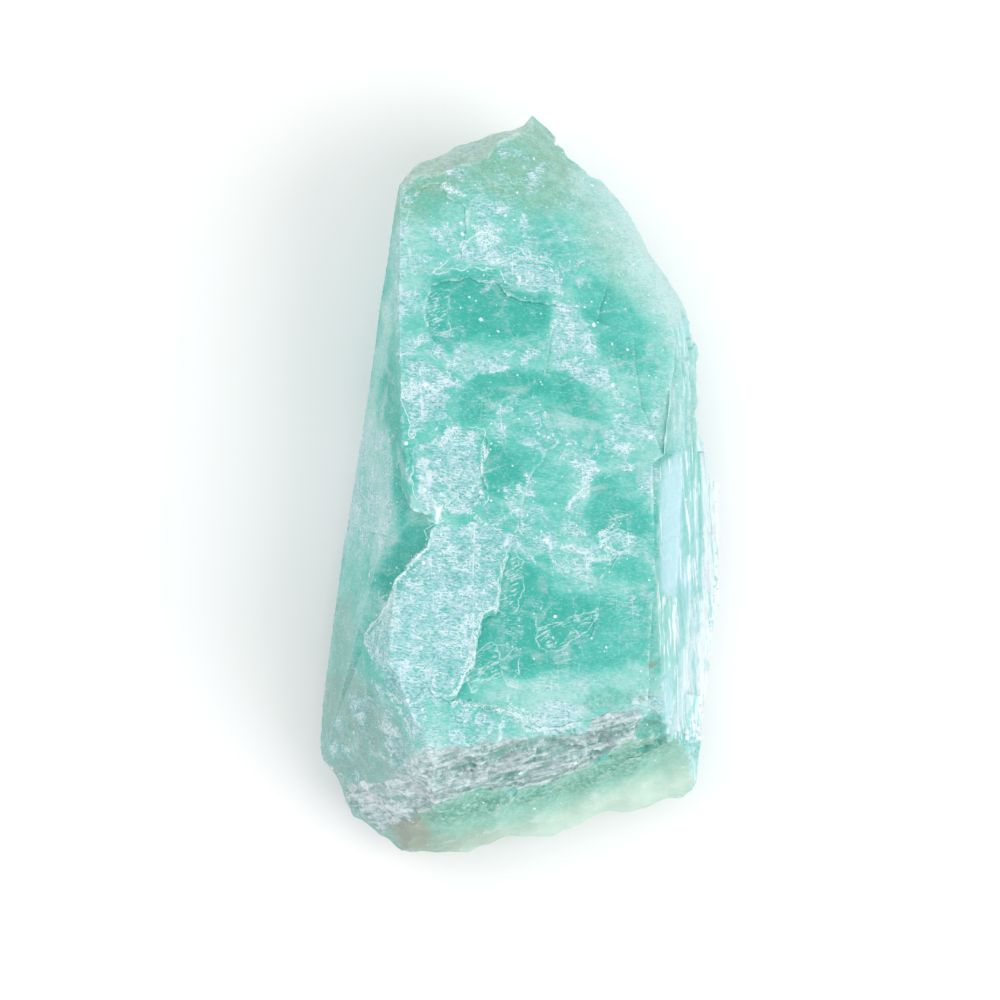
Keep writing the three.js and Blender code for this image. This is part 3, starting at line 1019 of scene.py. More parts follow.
        Zone(((595, 464), (599, 469), (600, 475), (597, 474), (594, 468)), amount=1.4, soft=0.7),
        Zone(((596, 536), (602, 530), (616, 526), (604, 538), (612, 550), (622, 552), (610, 556),
              (600, 546)), amount=0.75, soft=0.7),
        Zone(((553, 540), (575, 546), (600, 556), (612, 556), (596, 562), (572, 554),
              (552, 546)), amount=0.6, soft=0.8),
        Zone(((392, 694), (396, 704), (402, 712), (406, 722), (398, 716), (392, 704),
              (386, 688)), amount=0.7, soft=0.7),
        Zone(((436, 188), (446, 184), (462, 192), (470, 196), (460, 196), (448, 192)), amount=0.8, soft=0.7),
        Zone(((470, 226), (490, 222), (500, 240), (484, 250), (476, 240)), amount=0.6, soft=0.8),
        Zone(((478, 258), (500, 255), (510, 270), (490, 268)), amount=0.6, soft=0.8),
        Zone(((400, 384), (430, 382), (452, 384), (440, 391), (420, 392), (404, 400)), amount=0.7, soft=0.7),
        Zone(((616, 440), (630, 440), (640, 448), (626, 456), (612, 452)), amount=0.6, soft=0.8),
        Zone(((452, 702), (466, 701), (484, 704), (511, 712), (528, 724), (544, 731), (564, 729), (564, 732),
              (544, 735), (526, 728), (509, 716), (483, 708), (466, 704), (452, 706)), amount=0.75, soft=0.6),
        Zone(((506, 690), (512, 706), (530, 716), (548, 724), (530, 722), (508, 710)), amount=0.7, soft=0.6),
        Zone(((374, 596), (392, 592), (378, 598), (390, 606)), amount=0.6, soft=0.6),
        Zone(((431, 545), (417, 561), (403, 575), (394, 589), (391, 606), (385, 618), (371, 632), (364, 646),
              (361, 646), (368, 629), (382, 614), (388, 604), (390, 588), (400, 573), (414, 559),
              (427, 544)), amount=0.8, soft=0.7),
        Zone(((497, 738), (499, 725), (505, 712), (512, 706), (513, 709), (506, 715), (502, 726),
              (500, 738)), amount=0.9, soft=0.6),
        Zone(((488, 734), (490, 721), (493, 722), (491, 735)), amount=0.7, soft=0.6),
        Zone(((512, 706), (524, 708), (536, 718), (552, 734), (549, 736), (534, 721),
              (522, 711)), amount=0.7, soft=0.6),
        Zone(((416, 768), (430, 750), (450, 744), (440, 756), (424, 772)), amount=0.6, soft=3),
        Zone(((362, 788), (380, 785), (402, 779), (400, 784), (380, 790), (364, 792)), amount=0.8, soft=1),
        Zone(((384, 716), (392, 722), (399, 738), (388, 738), (379, 730)), amount=0.6, soft=2),
    ),
    # Torn white fibres of the right side, painted near white, partly as painted glare from the strong light there.
    "fibrous": (
        Zone(((704, 446), (712, 432), (730, 430), (732, 560), (724, 660), (714, 746), (698, 746), (700, 660),
              (706, 560)), amount=1.0, soft=1.6),
        Zone(((690, 600), (700, 600), (694, 700), (682, 730), (672, 730), (684, 650)), amount=0.55, soft=2.0),
    ),
    "plate": (
        Zone(((664, 466), (680, 462), (684, 470), (683, 500), (682, 545), (676, 600), (668, 598), (662, 592),
              (662, 520)), amount=1.0, soft=1.2),
    ),
    # Painted glare: where the right side's layers are painted near white for the strong light that falls on them.
    "bright": (
        Zone(((660, 462), (672, 456), (690, 446), (706, 430), (730, 430), (734, 560), (726, 660), (716, 748),
              (668, 738), (662, 660), (657, 600)), amount=1.0, soft=2.0),
        Zone(((676, 352), (692, 345), (708, 430), (700, 446), (684, 452), (668, 452)), amount=0.45, soft=6.0),
    ),
    "sage": (
        Zone(((388, 170), (420, 150), (470, 130), (520, 108), (556, 116), (580, 165), (568, 205), (530, 214),
              (500, 200), (470, 190), (430, 215), (395, 225)), amount=0.95, soft=18),
        Zone(((560, 190), (590, 190), (625, 245), (640, 290), (620, 300), (600, 260),
              (575, 225)), amount=0.4, soft=16),
    ),
    "ash": (
        Zone(((318, 680), (350, 664), (372, 690), (397, 720), (412, 750), (402, 780), (370, 802), (340, 806),
              (316, 760)), amount=0.95, soft=10),
        Zone(((330, 600), (352, 600), (352, 680), (326, 690)), amount=0.6, soft=8),
        Zone(((330, 800), (345, 800), (378, 828), (400, 822), (430, 812), (440, 830), (430, 862), (392, 864),
              (346, 832)), amount=0.8, soft=4),
    ),
    # Painted shade: deeper green under and beside the band's overhanging lip.
    "shade": (
        Zone(((418, 822), (430, 808), (450, 802), (480, 794), (520, 794), (560, 788), (590, 771), (615, 756),
              (638, 739), (644, 718), (668, 728), (676, 742), (650, 760), (625, 776), (590, 788), (560, 800),
              (500, 812), (450, 824)), amount=1.0, soft=7),
        Zone(((574, 702), (600, 690), (650, 691), (652, 700), (620, 704), (590, 713)), amount=0.6, soft=4),
    ),
    "stain": (
        Zone(((388, 812), (418, 815), (432, 838), (425, 858), (400, 856), (388, 830)), amount=0.7, soft=8),
        Zone(((643, 664), (650, 662), (658, 664), (657, 669), (650, 669)), amount=0.8, soft=1.5),
        Zone(((420, 838), (450, 834), (500, 838), (520, 852), (430, 862)), amount=0.35, soft=10),
    ),
    "crust": (
        Zone(((342, 796), (352, 784), (375, 786), (396, 778), (412, 758), (436, 746), (430, 812), (404, 826),
              (380, 836), (360, 822), (344, 806)), amount=0.95, soft=3),
        Zone(((395, 800), (400, 786), (420, 770), (440, 748), (480, 741), (520, 735), (560, 739), (590, 725),
              (612, 707), (640, 706), (642, 714), (637, 734), (615, 752), (590, 767), (560, 785), (520, 790),
              (480, 790), (450, 800), (430, 810), (404, 816)), amount=1.0, soft=4),
    ),
}


# The faces with a finish of their own, and how near to one of them a place has to be to lie on it.
DRESSED_FACES = {
    "on_stair": ("right", "right_bend", "lower_right", "right_under", "right_bend_under", "lower_right_under"),
    "on_foot": ("foot", "foot_under", "toe"),
    "on_head": ("head",),
}
ON_FACE_MM = 0.06

# The thickness is measured from just under the skin inwards, no further than this, in metres, and then evened out.
SKIN = 1e-5
THICKEST = 0.03
THICKNESS_ROUNDS = 6

# A ridge is at its sharpest where the surface turns this much over an edge. No edge counts as shorter than this.
SHARPEST = 0.5
SHORTEST = 1e-7

# What is noted as a depth inside its outlines, and how deep at most. The patches' edges waver a little.
DEPTHS = ("frost", "leaf")
DEEPEST_MM = 4
WAVER_LENGTH_MM = 5
WAVER_X_MM, WAVER_X_SEED = 0.1, 3.1
WAVER_Y_MM, WAVER_Y_SEED = 0.2, 5.3


@dataclass
class AmazoniteStone:
    """The lump itself.

    Args:
        name: The piece's name.
        faces: The faces that look up or down.
        rim: The stretches of the rim with the sides on them.
        ledges: The layers split away.
        breaks: The corners broken out.
        zones: The patches that look different, by what there is more of within them.
        sheets: The surfaces that it has been cut down to so far.
    """

    name: str = "amazonite_stone"
    faces: tuple[Face, ...] = FACES
    rim: tuple[Side, ...] = RIM
    ledges: tuple[Ledge, ...] = LEDGES
    breaks: tuple[Outline, ...] = BREAKS
    zones: dict[str, tuple[Zone, ...]] = field(default_factory=lambda: ZONES)
    sheets: list[Sheet] = field(default_factory=list)

    def build(self) -> bpy.types.Object:
        """Cuts the lump out of its block.

        Returns:
            The lump in metres, at the place of its node.
        """
        lump = self._block()
        cutters = [self._over_face(face, seed) for seed, face in enumerate(self.faces, FACE_SEED)]
        for order, side in enumerate(self.rim):
            cutters.append(self._outside(side, False, UPPER_SIDE_SEED + order))
            cutters.append(self._outside(side, True, LOWER_SIDE_SEED + order))
        cutters += [self._layer(ledge, seed) for seed, ledge in enumerate(self.ledges, LEDGE_SEED)]
        cutters += [self._beyond(outline, seed) for seed, outline in enumerate(self.breaks, BREAK_SEED)]
        cut_by_all(lump, cutters)
        cut_flat(lump, 0.0)
        self._note_faces(lump.data)
        self._seat(lump.data)
        self._note_thickness(lump.data)
        self._note_ridges(lump.data)
        self._note_zones(lump.data)
        return lump

    def _block(self) -> bpy.types.Object:
        """The block that the lump is cut from.

        Returns:
            The block, lying on the floor.
        """
        pick_none()
        bpy.ops.mesh.primitive_cube_add(size=1, location=(0, 0, DRAWN_MM.z / 2))
        block = bpy.context.object
        block.name = block.data.name = self.name
        block.scale = DRAWN_MM * BLOCK_MARGIN
        bpy.ops.object.transform_apply(location=True, rotation=True, scale=True)
        return block

    def _over_face(self, face: Face, seed: int) -> bpy.types.Object:
        """What lies over a face, or over the part of it within its outline.

        Args:
            face: The face.
            seed: Picks one pattern.

        Returns:
            The cutter.
        """
        sheet = Sheet(face.name, face.plane(), face.kind.value, seed)
        cutter = slab(sheet, (-face.reach[0], -face.reach[1]), face.reach)
        if face.outline:
            keep_common(cutter, prism(sheet.plane, ragged(face.outline, seed), WALL_START_MM, WALL_TOP_MM))
        self.sheets.append(sheet)
        LOG.debug("face %s", face.name)
        return cutter

    def _outside(self, side: Side, under: bool, seed: int) -> bpy.types.Object:
        """What lies outside the side above or below a stretch of the rim.

        Args:
            side: The stretch.
            under: Whether it is the side below the rim.
            seed: Picks one pattern.

        Returns:
            The cutter.
        """
        plane, inwards = side.plane(under)
        reach = side.length() / 2 + PAST_END_MM
        limits = side.ends if side.ends and not under else None
        low_u = max(-reach, limits[0] + INSIDE_LIMIT_MM) if limits else -reach
        high_u = min(reach, limits[1] - INSIDE_LIMIT_MM) if limits else reach
        heights = (side.start[2], side.end[2])
        tall = max(heights) + PAST_RIM_MM if under else DRAWN_MM.z - min(heights)
        far = tall / math.sin(math.radians(side.under if under else side.rise))
        low_v, high_v = sorted((-PAST_RIM_MM * inwards, far * inwards))
        sheet = Sheet(side.name + ("_under" if under else ""), plane, side.kind.value, seed)
        self.sheets.append(sheet)
        LOG.debug("side %s", sheet.name)
        return slab(sheet, (low_u, low_v), (high_u, high_v), limits)

    def _layer(self, ledge: Ledge, seed: int) -> bpy.types.Object:
        """The thin layer that is split away over a ledge, down to a surface that runs along the face's own.

        Args:
            ledge: The ledge.
            seed: Picks one pattern.

        Returns:
            The cutter.
        """
        over = next(sheet for sheet in self.sheets if sheet.name == ledge.face)
        face = next(face for face in self.faces if face.name == ledge.face)
        corners = np.array(ledge.outline)
        low = np.maximum(corners.min(axis=0) - PAST_LAYER_MM, -np.array(face.reach))
        high = np.minimum(corners.max(axis=0) + PAST_LAYER_MM, np.array(face.reach))
        middle = corners.mean(axis=0)
        depth = (ledge.depth - float(np.dot(ledge.fall, middle)), *ledge.fall)
        sheet = Sheet(f"{over.name}_{seed}", over.plane, over.relief, over.seed, depth)
        layer = slab(sheet, tuple(low), tuple(high))
        walls = ragged(ledge.outline, seed, ledge.throw)
        keep_common(layer, prism(sheet.plane, walls, -ledge.depth - LAYER_SINK_MM, LAYER_TOP_MM))
        self.sheets.append(sheet)
        LOG.debug("layer of %.2f mm on %s", ledge.depth, over.name)
        return layer

    @staticmethod
    def _beyond(outline: Outline, seed: int) -> bpy.types.Object:
        """What is broken out of the rim, from under the lump to over it."""
        ground = Plane.facing(Vector((0, 0, UNDER_ALL_MM)), Vector((1, 0, 0)), Vector((0, 0, 1)))
        return prism(ground, ragged(outline, seed), 0, THROUGH_ALL_MM)

    @staticmethod
    def _seat(mesh: bpy.types.Mesh) -> None:
        """Brings the lump to metres and into its node's box.

        Args:
            mesh: The lump's mesh.
        """
        low, high = (np.array(corner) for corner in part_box(NODE))
        places = places_of(mesh)
        start, end = places.min(axis=0), places.max(axis=0)
        move_to(mesh, low + (places - start) * (high - low) / (end - start))

    def _note_faces(self, mesh: bpy.types.Mesh) -> None:
        """Notes which places lie on the faces that have a finish of their own.

        Args:
            mesh: The lump's mesh, still in millimetres.
        """
        places = places_of(mesh)
        nearest = np.full(len(places), ON_FACE_MM)
        which = np.full(len(places), -1)
        for index, sheet in enumerate(self.sheets):
            gap = sheet.gap(places)
            which = np.where(gap < nearest, index, which)
            nearest = np.minimum(gap, nearest)
        for kind, names in DRESSED_FACES.items():
            chosen = np.isin(which, [index for index, sheet in enumerate(self.sheets) if sheet.name in names])
            note(mesh, kind, spread(mesh, chosen.astype(float), 1))

    @staticmethod
    def _note_thickness(mesh: bpy.types.Mesh) -> None:
        """Notes how thick the lump is under each place, in millimetres.

        Args:
            mesh: The lump's mesh.
        """
        places, normals = places_of(mesh), normals_of(mesh)
        tree = BVHTree.FromPolygons(
            [Vector(place) for place in places], [tuple(polygon.vertices) for polygon in mesh.polygons]
        )
        thick = np.empty(len(places))
        for index, (place, normal) in enumerate(zip(places, normals)):
            inward = Vector(-normal)
            distance = tree.ray_cast(Vector(place) + inward * SKIN, inward, THICKEST)[3]
            thick[index] = THICKEST if distance is None else distance
        note(mesh, "thickness", spread(mesh, thick / MM, THICKNESS_ROUNDS))

    @staticmethod
    def _note_ridges(mesh: bpy.types.Mesh) -> None:
        """Notes how sharply the lump stands out at each place, from 0 to 1.

        Args:
            mesh: The lump's mesh.
        """
        places, normals = places_of(mesh), normals_of(mesh)
        a, b = ends_of(mesh)
        way = places[b] - places[a]
        length = np.maximum(np.linalg.norm(way, axis=1), SHORTEST)
        turn = np.einsum("ij,ij->i", normals[b] - normals[a], way) / length
        bend = gather(mesh, turn, turn)
        note(mesh, "ridge", spread(mesh, np.clip(bend / SHARPEST, 0, 1), 1))

    def _note_zones(self, mesh: bpy.types.Mesh) -> None:
        """Notes how much of each trait every place has.

        Args:
            mesh: The lump's mesh.
        """
        x, y, _ = (places_of(mesh) / MM).T
        x, y = (x + WAVER_X_MM * swells(x, y, WAVER_LENGTH_MM, WAVER_X_SEED),
                y + WAVER_Y_MM * swells(x, y, WAVER_LENGTH_MM, WAVER_Y_SEED))
        for trait, zones in sorted(self.zones.items()):
            if trait in DEPTHS:
                amount = np.max([zone.inside(x, y) for zone in zones], axis=0)
                amount = np.clip(amount, -DEEPEST_MM, DEEPEST_MM)
            else:
                amount = np.max([zone.share(x, y) for zone in zones], axis=0)
            note(mesh, trait, amount)


Colour = tuple[float, ...]
Socket = bpy.types.NodeSocket
Value = Socket | float | tuple[float, ...]

# A screen's curve, from the level that is shown to the light that it stands for.
LEVELS = 255
DARKEST = 0.04045
DARK_SLOPE = 12.92
LIFT = 0.055
GAMMA = 2.4


def paint(red: float, green: float, blue: float) -> Colour:
    """A colour as shown on a screen, 0 to 255, as the light it stands for.

    Args:
        red: Its red.
        green: Its green.
        blue: Its blue.

    Returns:
        The colour as light, with full cover.
    """
    shares = (value / LEVELS for value in (red, green, blue))
    light = (share / DARK_SLOPE if share <= DARKEST else ((share + LIFT) / (1 + LIFT)) ** GAMMA for share in shares)
    return (*light, 1.0)


# A thread or a crack is whole within this share of its width, and a dot fades over this share of its size.
THREAD_CORE = 0.2
CRACK_CORE = 0.3
DOT_FADE = 0.35
NOISE_MIDDLE = 0.5

# The sockets of a mix of colours.
MIX_AMOUNT, MIX_UNDER, MIX_OVER, MIX_RESULT = 0, 6, 7, 2


class Bench:
    """Lays out the nodes of one material."""

    def __init__(self, material: bpy.types.Material) -> None:
        """Takes a material's nodes in hand.

        Args:
            material: The material.
        """
        material.use_nodes = True
        self.nodes = material.node_tree.nodes
        self.links = material.node_tree.links
        self.shader = self.nodes["Principled BSDF"]

    def join(self, value: Value, socket: Socket) -> None:
        """Brings a value or another node's result into a socket.

        Args:
            value: What is brought in.
            socket: Where it goes.
        """
        if isinstance(value, Socket):
            self.links.new(value, socket)
        else:
            socket.default_value = value

    def node(self, kind: str, settings: dict[str, object], inputs: dict[str | int, Value]) -> bpy.types.Node:
        """Adds a node.

        Args:
            kind: The node's type.
            settings: Its own options.
            inputs: What goes into its sockets, by name or number.

        Returns:
            The node.
        """
        made = self.nodes.new("ShaderNode" + kind)
        for name, value in settings.items():
            setattr(made, name, value)
        for name, value in inputs.items():
            self.join(value, made.inputs[name])
        return made

    def math(self, operation: str, *values: Value) -> Socket:
        """One sum."""
        return self.node("Math", {"operation": operation}, dict(enumerate(values))).outputs[0]

    def vector(self, operation: str, *values: Value) -> Socket:
        """One sum of places."""
        return self.node("VectorMath", {"operation": operation}, dict(enumerate(values))).outputs[0]

    def times(self, *values: Value) -> Socket:
        """Several values multiplied."""
        return reduce(lambda a, b: self.math("MULTIPLY", a, b), values)

    def most(self, *values: Value) -> Socket:
        """The largest of several values."""
        return reduce(lambda a, b: self.math("MAXIMUM", a, b), values)

    def sway(self, value: Value, reach: float) -> Socket:
        """How far a noise is from its middle, times reach."""
        return self.times(self.math("SUBTRACT", value, NOISE_MIDDLE), reach)

    def about(self, value: Value, reach: float, level: Value) -> Socket:
        """A level that a noise moves up and down, by reach times how far it is from its middle."""
        return self.math("MULTIPLY_ADD", self.math("SUBTRACT", value, NOISE_MIDDLE), reach, level)

    def ease(self, value: Value, low: float, high: float, top: float = 1.0) -> Socket:
        """Eases between nothing and top.

        Args:
            value: What it follows.
            low: The value that gives nothing.
            high: The value that gives top. It may be the lower of the two.
            top: The most that it gives.

        Returns:
            The eased value.
        """
        inputs = {0: value, 1: min(low, high), 2: max(low, high), 3: 0.0, 4: top}
        if high < low:
            inputs |= {3: top, 4: 0.0}
        return self.node("MapRange", {"interpolation_type": "SMOOTHSTEP"}, inputs).outputs[0]

    def noted(self, name: str) -> Socket:
        """A value that was noted at the vertices."""
        return self.node("Attribute", {"attribute_name": name}, {}).outputs["Fac"]

    def stretched(self, at: Value, scale: Place, turn: float = 0.0) -> Socket:
        """Places scaled along each axis after a turn about the vertical, in degrees.

        Args:
            at: The places.
            scale: What each axis is multiplied by.
            turn: The turn.

        Returns:
            The new places.
        """
        inputs = {"Vector": at, "Rotation": (0.0, 0.0, math.radians(turn))}
        turned = self.node("Mapping", {}, inputs).outputs[0] if turn else at
        return self.vector("MULTIPLY", turned, scale)

    def noise(self, at: Value, scale: float, detail: float = 4.0, rough: float = 0.5, swirl: float = 0.0) -> Socket:
        """Cloudy noise, mostly from 0.3 to 0.7."""
        inputs = {"Vector": at, "Scale": scale, "Detail": detail, "Roughness": rough, "Distortion": swirl}
        return self.node("TexNoise", {}, inputs).outputs["Fac"]

    def streaks(self, at: Value, scale: Place, turn: float, detail: float, rough: float,
                swirl: float = 0.0) -> Socket:
        """Noise drawn out into streaks.

        Args:
            at: The places.
            scale: How often it changes along each axis.
            turn: The turn of the axes about the vertical, in degrees.
            detail: How many finer octaves it has.
            rough: How strong they are.
            swirl: How far it is swirled.

        Returns:
            The noise.
        """
        return self.noise(self.stretched(at, scale, turn), 1.0, detail, rough, swirl)

    def threads(self, at: Value, scale: float, width: float, detail: float = 4.0, rough: float = 0.5,
                swirl: float = 0.0) -> Socket:
        """Fine winding lines, where noise is near its middle.

        Args:
            at: The places.
            scale: How often the noise changes.
            width: How near to its middle the noise has to be.
            detail: How many finer octaves it has.
            rough: How strong they are.
            swirl: How far it is swirled.

        Returns:
            How much of a line there is at each place.
        """
        noise = self.noise(at, scale, detail, rough, swirl)
        offset = self.math("ABSOLUTE", self.math("SUBTRACT", noise, NOISE_MIDDLE))
        return self.ease(offset, width, THREAD_CORE * width)

    def cracks(self, at: Value, scale: float, width: float) -> Socket:
        """A net of thin straight lines: width in the places' own unit."""
        gap = self.node("TexVoronoi", {"feature": "DISTANCE_TO_EDGE"}, {"Vector": at, "Scale": scale})
        return self.ease(gap.outputs["Distance"], width * scale, CRACK_CORE * width * scale)

    def swirled(self, at: Value, scale: float, reach: float, detail: float = 2.0) -> Socket:
        """Places moved about by noise.

        Args:
            at: The places.
            scale: How often the noise changes.
            reach: How far they move.
            detail: How many finer octaves it has.

        Returns:
            The new places.
        """
        push = self.node("TexNoise", {}, {"Vector": at, "Scale": scale, "Detail": detail}).outputs["Color"]
        push = self.vector("SUBTRACT", push, (NOISE_MIDDLE,) * 3)
        return self.vector("MULTIPLY_ADD", push, (2 * reach,) * 3, at)

    def dots(self, at: Value, scale: float, size: float, share: float) -> Socket:
        """Scattered dots of many sizes.

        Args:
            at: The places.
            scale: How often there may be a dot.
            size: The largest radius.
            share: How many of the places for a dot have one.

        Returns:
            How much of a dot there is.
        """
        cells = self.node("TexVoronoi", {}, {"Vector": at, "Scale": scale})
        chance = self.node("SeparateColor", {}, {0: cells.outputs["Color"]}).outputs
        radius = self.times(self.ease(chance[0], 1 - share, 1.0), size * scale)
        gap = self.math("SUBTRACT", radius, cells.outputs["Distance"])
        return self.ease(gap, 0.0, DOT_FADE * size * scale)

    def mix(self, amount: Value, under: Value, over: Value) -> Socket:
        """One colour laid over another."""
        inputs = {MIX_AMOUNT: amount, MIX_UNDER: under, MIX_OVER: over}
        return self.node("Mix", {"data_type": "RGBA"}, inputs).outputs[MIX_RESULT]

    def ramp(self, value: Value, *stops: tuple[float, Colour]) -> Socket:
        """Colours along a value.

        Args:
            value: What they follow.
            stops: The value at which each colour is reached.

        Returns:
            The colour.
        """
        made = self.node("ValToRGB", {}, {0: value})
        points = made.color_ramp.elements
        while len(points) < len(stops):
            points.new(0.5)
        for point, (place, colour) in zip(points, stops):
            point.position = place
            point.color = colour
        return made.outputs["Color"]

    def bump(self, height: Value, depth: float, strength: float) -> Socket:
        """Fine relief: depth in metres."""
        return self.node("Bump", {}, {"Height": height, "Distance": depth, "Strength": strength}).outputs[0]


@dataclass(frozen=True)
class FrostedAmazonite:
    """Translucent blue-green feldspar, frosted white where its cleavage is bruised.

    Args:
        deep: The colour of the clearest stone.
        body: The usual colour.
        cloudy: Where it is milky.
        milky: Where it is milkiest.
        frost: Under the marks of a frosted patch.
        mark: The fine white marks.
        veil: The soft clouds within.
        sage: The darker grey-green laid near the head.
        ash: The greyer stone near the left corner.
        foot: The green grain of the foot.
        foot_deep: The same, darker where the stone is thick: painted shade where little light comes through.
        thin_glow: The same, painted pale where the stone is thin: painted glow of light coming through.
        layers: The pale layers of the right side, painted paler as part of the painted glare there.
        edge: The green between them.
        fibre: Their white torn edges, partly painted glare.
        crust: The grey of the hackly band.
        crust_deep: The darkest in it.
        crust_pale: The palest in it.
        blush: The pink in it.
        grain_and_shade: The fine dark lines all over: grain and painted shade in fine grooves.
        shade: Painted shade: the deeper green beside and under the band's lip.
        stain: Brown specks.
        rind: The weathered skin of the head.
        gloss: How rough it is where it is clear, and how much more so where it is frosted and on the band.
        refraction: How strongly it bends light.
        shine: How strongly it shines.
        milk: How much of the light goes into it.
        milk_depth: How deep that light goes, in metres.
        milk_tint: How far each colour of it goes, as shares of that.
        grain_height: The height of the fine relief, in metres.
    """

    deep: Colour = paint(38, 168, 154)
    body: Colour = paint(78, 184, 172)
    cloudy: Colour = paint(124, 199, 190)
    milky: Colour = paint(178, 214, 212)
    frost: Colour = paint(154, 198, 208)
    mark: Colour = paint(220, 232, 238)
    veil: Colour = paint(184, 208, 212)
    sage: Colour = paint(122, 174, 150)
    ash: Colour = paint(138, 170, 164)
    foot: Colour = paint(150, 200, 182)
    foot_deep: Colour = paint(132, 188, 168)
    thin_glow: Colour = paint(210, 228, 214)
    layers: Colour = paint(182, 218, 226)
    edge: Colour = paint(146, 206, 200)
    fibre: Colour = paint(228, 236, 238)
    crust: Colour = paint(128, 158, 154)
    crust_deep: Colour = paint(92, 138, 128)
    crust_pale: Colour = paint(184, 202, 206)
    blush: Colour = paint(196, 190, 200)
    grain_and_shade: Colour = paint(54, 148, 136)
    shade: Colour = paint(86, 150, 130)
    stain: Colour = paint(150, 148, 130)
    rind: Colour = paint(172, 194, 180)
    gloss: tuple[float, float, float] = (0.36, 0.16, 0.2)
    refraction: float = 1.53
    shine: float = 0.45
    milk: float = 0.06
    milk_depth: float = 0.0008
    milk_tint: tuple[float, float, float] = (0.85, 1.0, 0.97)
    grain_height: float = 0.0001

    def make(self) -> bpy.types.Material:
        """Makes the material.

        Returns:
            The material.
        """
        material = bpy.data.materials.new("frosted_amazonite")
        bench = Bench(material)
        at = bench.stretched(bench.node("TexCoord", {}, {}).outputs["Object"], (1 / MM,) * 3)
        frosted = self._frosted(bench, at)
        colour = self._rubbed(bench, at, frosted, self._body(bench, at))
        colour = bench.mix(self._marks(bench, at, frosted), colour, self.mark)
        colour = self._faces(bench, at, colour)
        colour = self._specks_and_rim_highlights(bench, at, colour)
        bench.join(colour, bench.shader.inputs["Base Color"])
        self._surface(bench, at, frosted)
        return material

    def _frosted(self, bench: Bench, at: Socket) -> Socket:
        """How frosted each place is.

        Args:
            bench: The bench of the material.
            at: The places in millimetres.

        Returns:
            From 0, clear, to 1, frosted.
        """
        cover = bench.ease(bench.noise(at, 0.4, 5.0, 0.68, 0.5), 0.33, 0.67)
        depth = bench.math("ADD", bench.noted("frost"), bench.sway(bench.noise(at, 0.9, 3.0, 0.6), 1.3))
        patch = bench.ease(depth, -0.15, 0.9, 0.92)
        amount = bench.math("ADD", cover, bench.most(patch, bench.noted("haze")))
        return bench.ease(amount, 0.66, 1.22)

    def _body(self, bench: Bench, at: Socket) -> Socket:
        """The colour of the stone, clearer in some places and milky in others, painted paler where its edges glow
        with light through them.

        Args:
            bench: The bench of the material.
            at: The places in millimetres.

        Returns:
            The colour.
        """
        fine = bench.streaks(at, (0.35, 1.1, 0.7), 4, 4.0, 0.62)
        tone = bench.about(bench.noise(at, 0.12, 4.0, 0.55, 0.4), 1.1, 0.4)
        tone = bench.about(fine, 0.7, tone)
        # Painted glow: paler within the pale patches, along the lit-through edges and over the darker-lit left
        # side.
        tone = bench.math("ADD", tone, bench.times(bench.noted("pale"), 0.55))
        tone = bench.math("ADD", tone, bench.times(bench.noted("haze"), 0.26))
        tone = bench.math("SUBTRACT", tone, bench.times(bench.noted("clear"), 0.4))
        colour = bench.ramp(tone, (0.0, self.deep), (0.33, self.body), (0.6, self.cloudy), (1.0, self.milky))
        veils = bench.ease(bench.noise(at, 0.3, 3.0, 0.55, 0.8), 0.52, 0.72, 0.45)
        colour = bench.mix(veils, colour, self.veil)
        even = bench.math("MULTIPLY_ADD", bench.ease(fine, 0.62, 0.38), 0.35, 0.6)
        colour = bench.mix(bench.times(bench.noted("sage"), even), colour, self.sage)
        return bench.mix(bench.times(bench.noted("ash"), even), colour, self.ash)

    def _rubbed(self, bench: Bench, at: Socket, frosted: Socket, colour: Socket) -> Socket:
        """Lays the frost over a colour, then the fine white grain of a rubbed face and fine dark lines of grain and
        painted shade in its grooves.

        Args:
            bench: The bench of the material.
            at: The places in millimetres.
            frosted: How frosted each place is.
            colour: The colour underneath.

        Returns:
            The colour.
        """
        mottle = bench.ease(bench.streaks(at, (0.8, 1.6, 1.0), 6, 3.0, 0.7), 0.34, 0.58, 0.5)
        mottle = bench.math("ADD", mottle, 0.24)
        colour = bench.mix(bench.times(bench.math("POWER", frosted, 1.5), mottle), colour, self.frost)
        grit = bench.streaks(at, (2.4, 5.2, 3.2), 6, 3.0, 0.65)
        rubbed = bench.math("MULTIPLY_ADD", frosted, 0.6, 0.4)
        # Painted shade of fine grooves, laid as dark lines over the grain.
        colour = bench.mix(bench.times(bench.ease(grit, 0.5, 0.37, 0.62), rubbed), colour, self.grain_and_shade)
        return bench.mix(bench.times(bench.ease(grit, 0.54, 0.66, 0.45), rubbed), colour, self.mark)

    def _marks(self, bench: Bench, at: Socket, frosted: Socket) -> Socket:
        """How much of a white mark there is at each place: lines and nets, patches' edges and split flakes.

        Args:
            bench: The bench of the material.
            at: The places in millimetres.
            frosted: How frosted each place is.

        Returns:
            From 0, none, to 1, white.
        """
        dense = bench.ease(bench.noise(at, 0.7, 3.0, 0.6, 0.6), 0.36, 0.62)
        sparse = bench.ease(bench.noise(at, 0.2, 3.0, 0.6), 0.4, 0.66, 0.62)
        there = bench.times(frosted, bench.math("MULTIPLY_ADD", dense, 0.7, 0.3))
        lines = bench.most(
            bench.math("ADD", self._scratches(bench, at), bench.most(there, sparse)),
            bench.math("ADD", self._lace(bench, at), there),
        )
        lines = bench.times(bench.ease(lines, 1.05, 1.75), bench.math("MULTIPLY_ADD", there, 0.3, 0.4))
        return bench.most(lines, self._patch_edges(bench, at), self._leaves(bench, at))

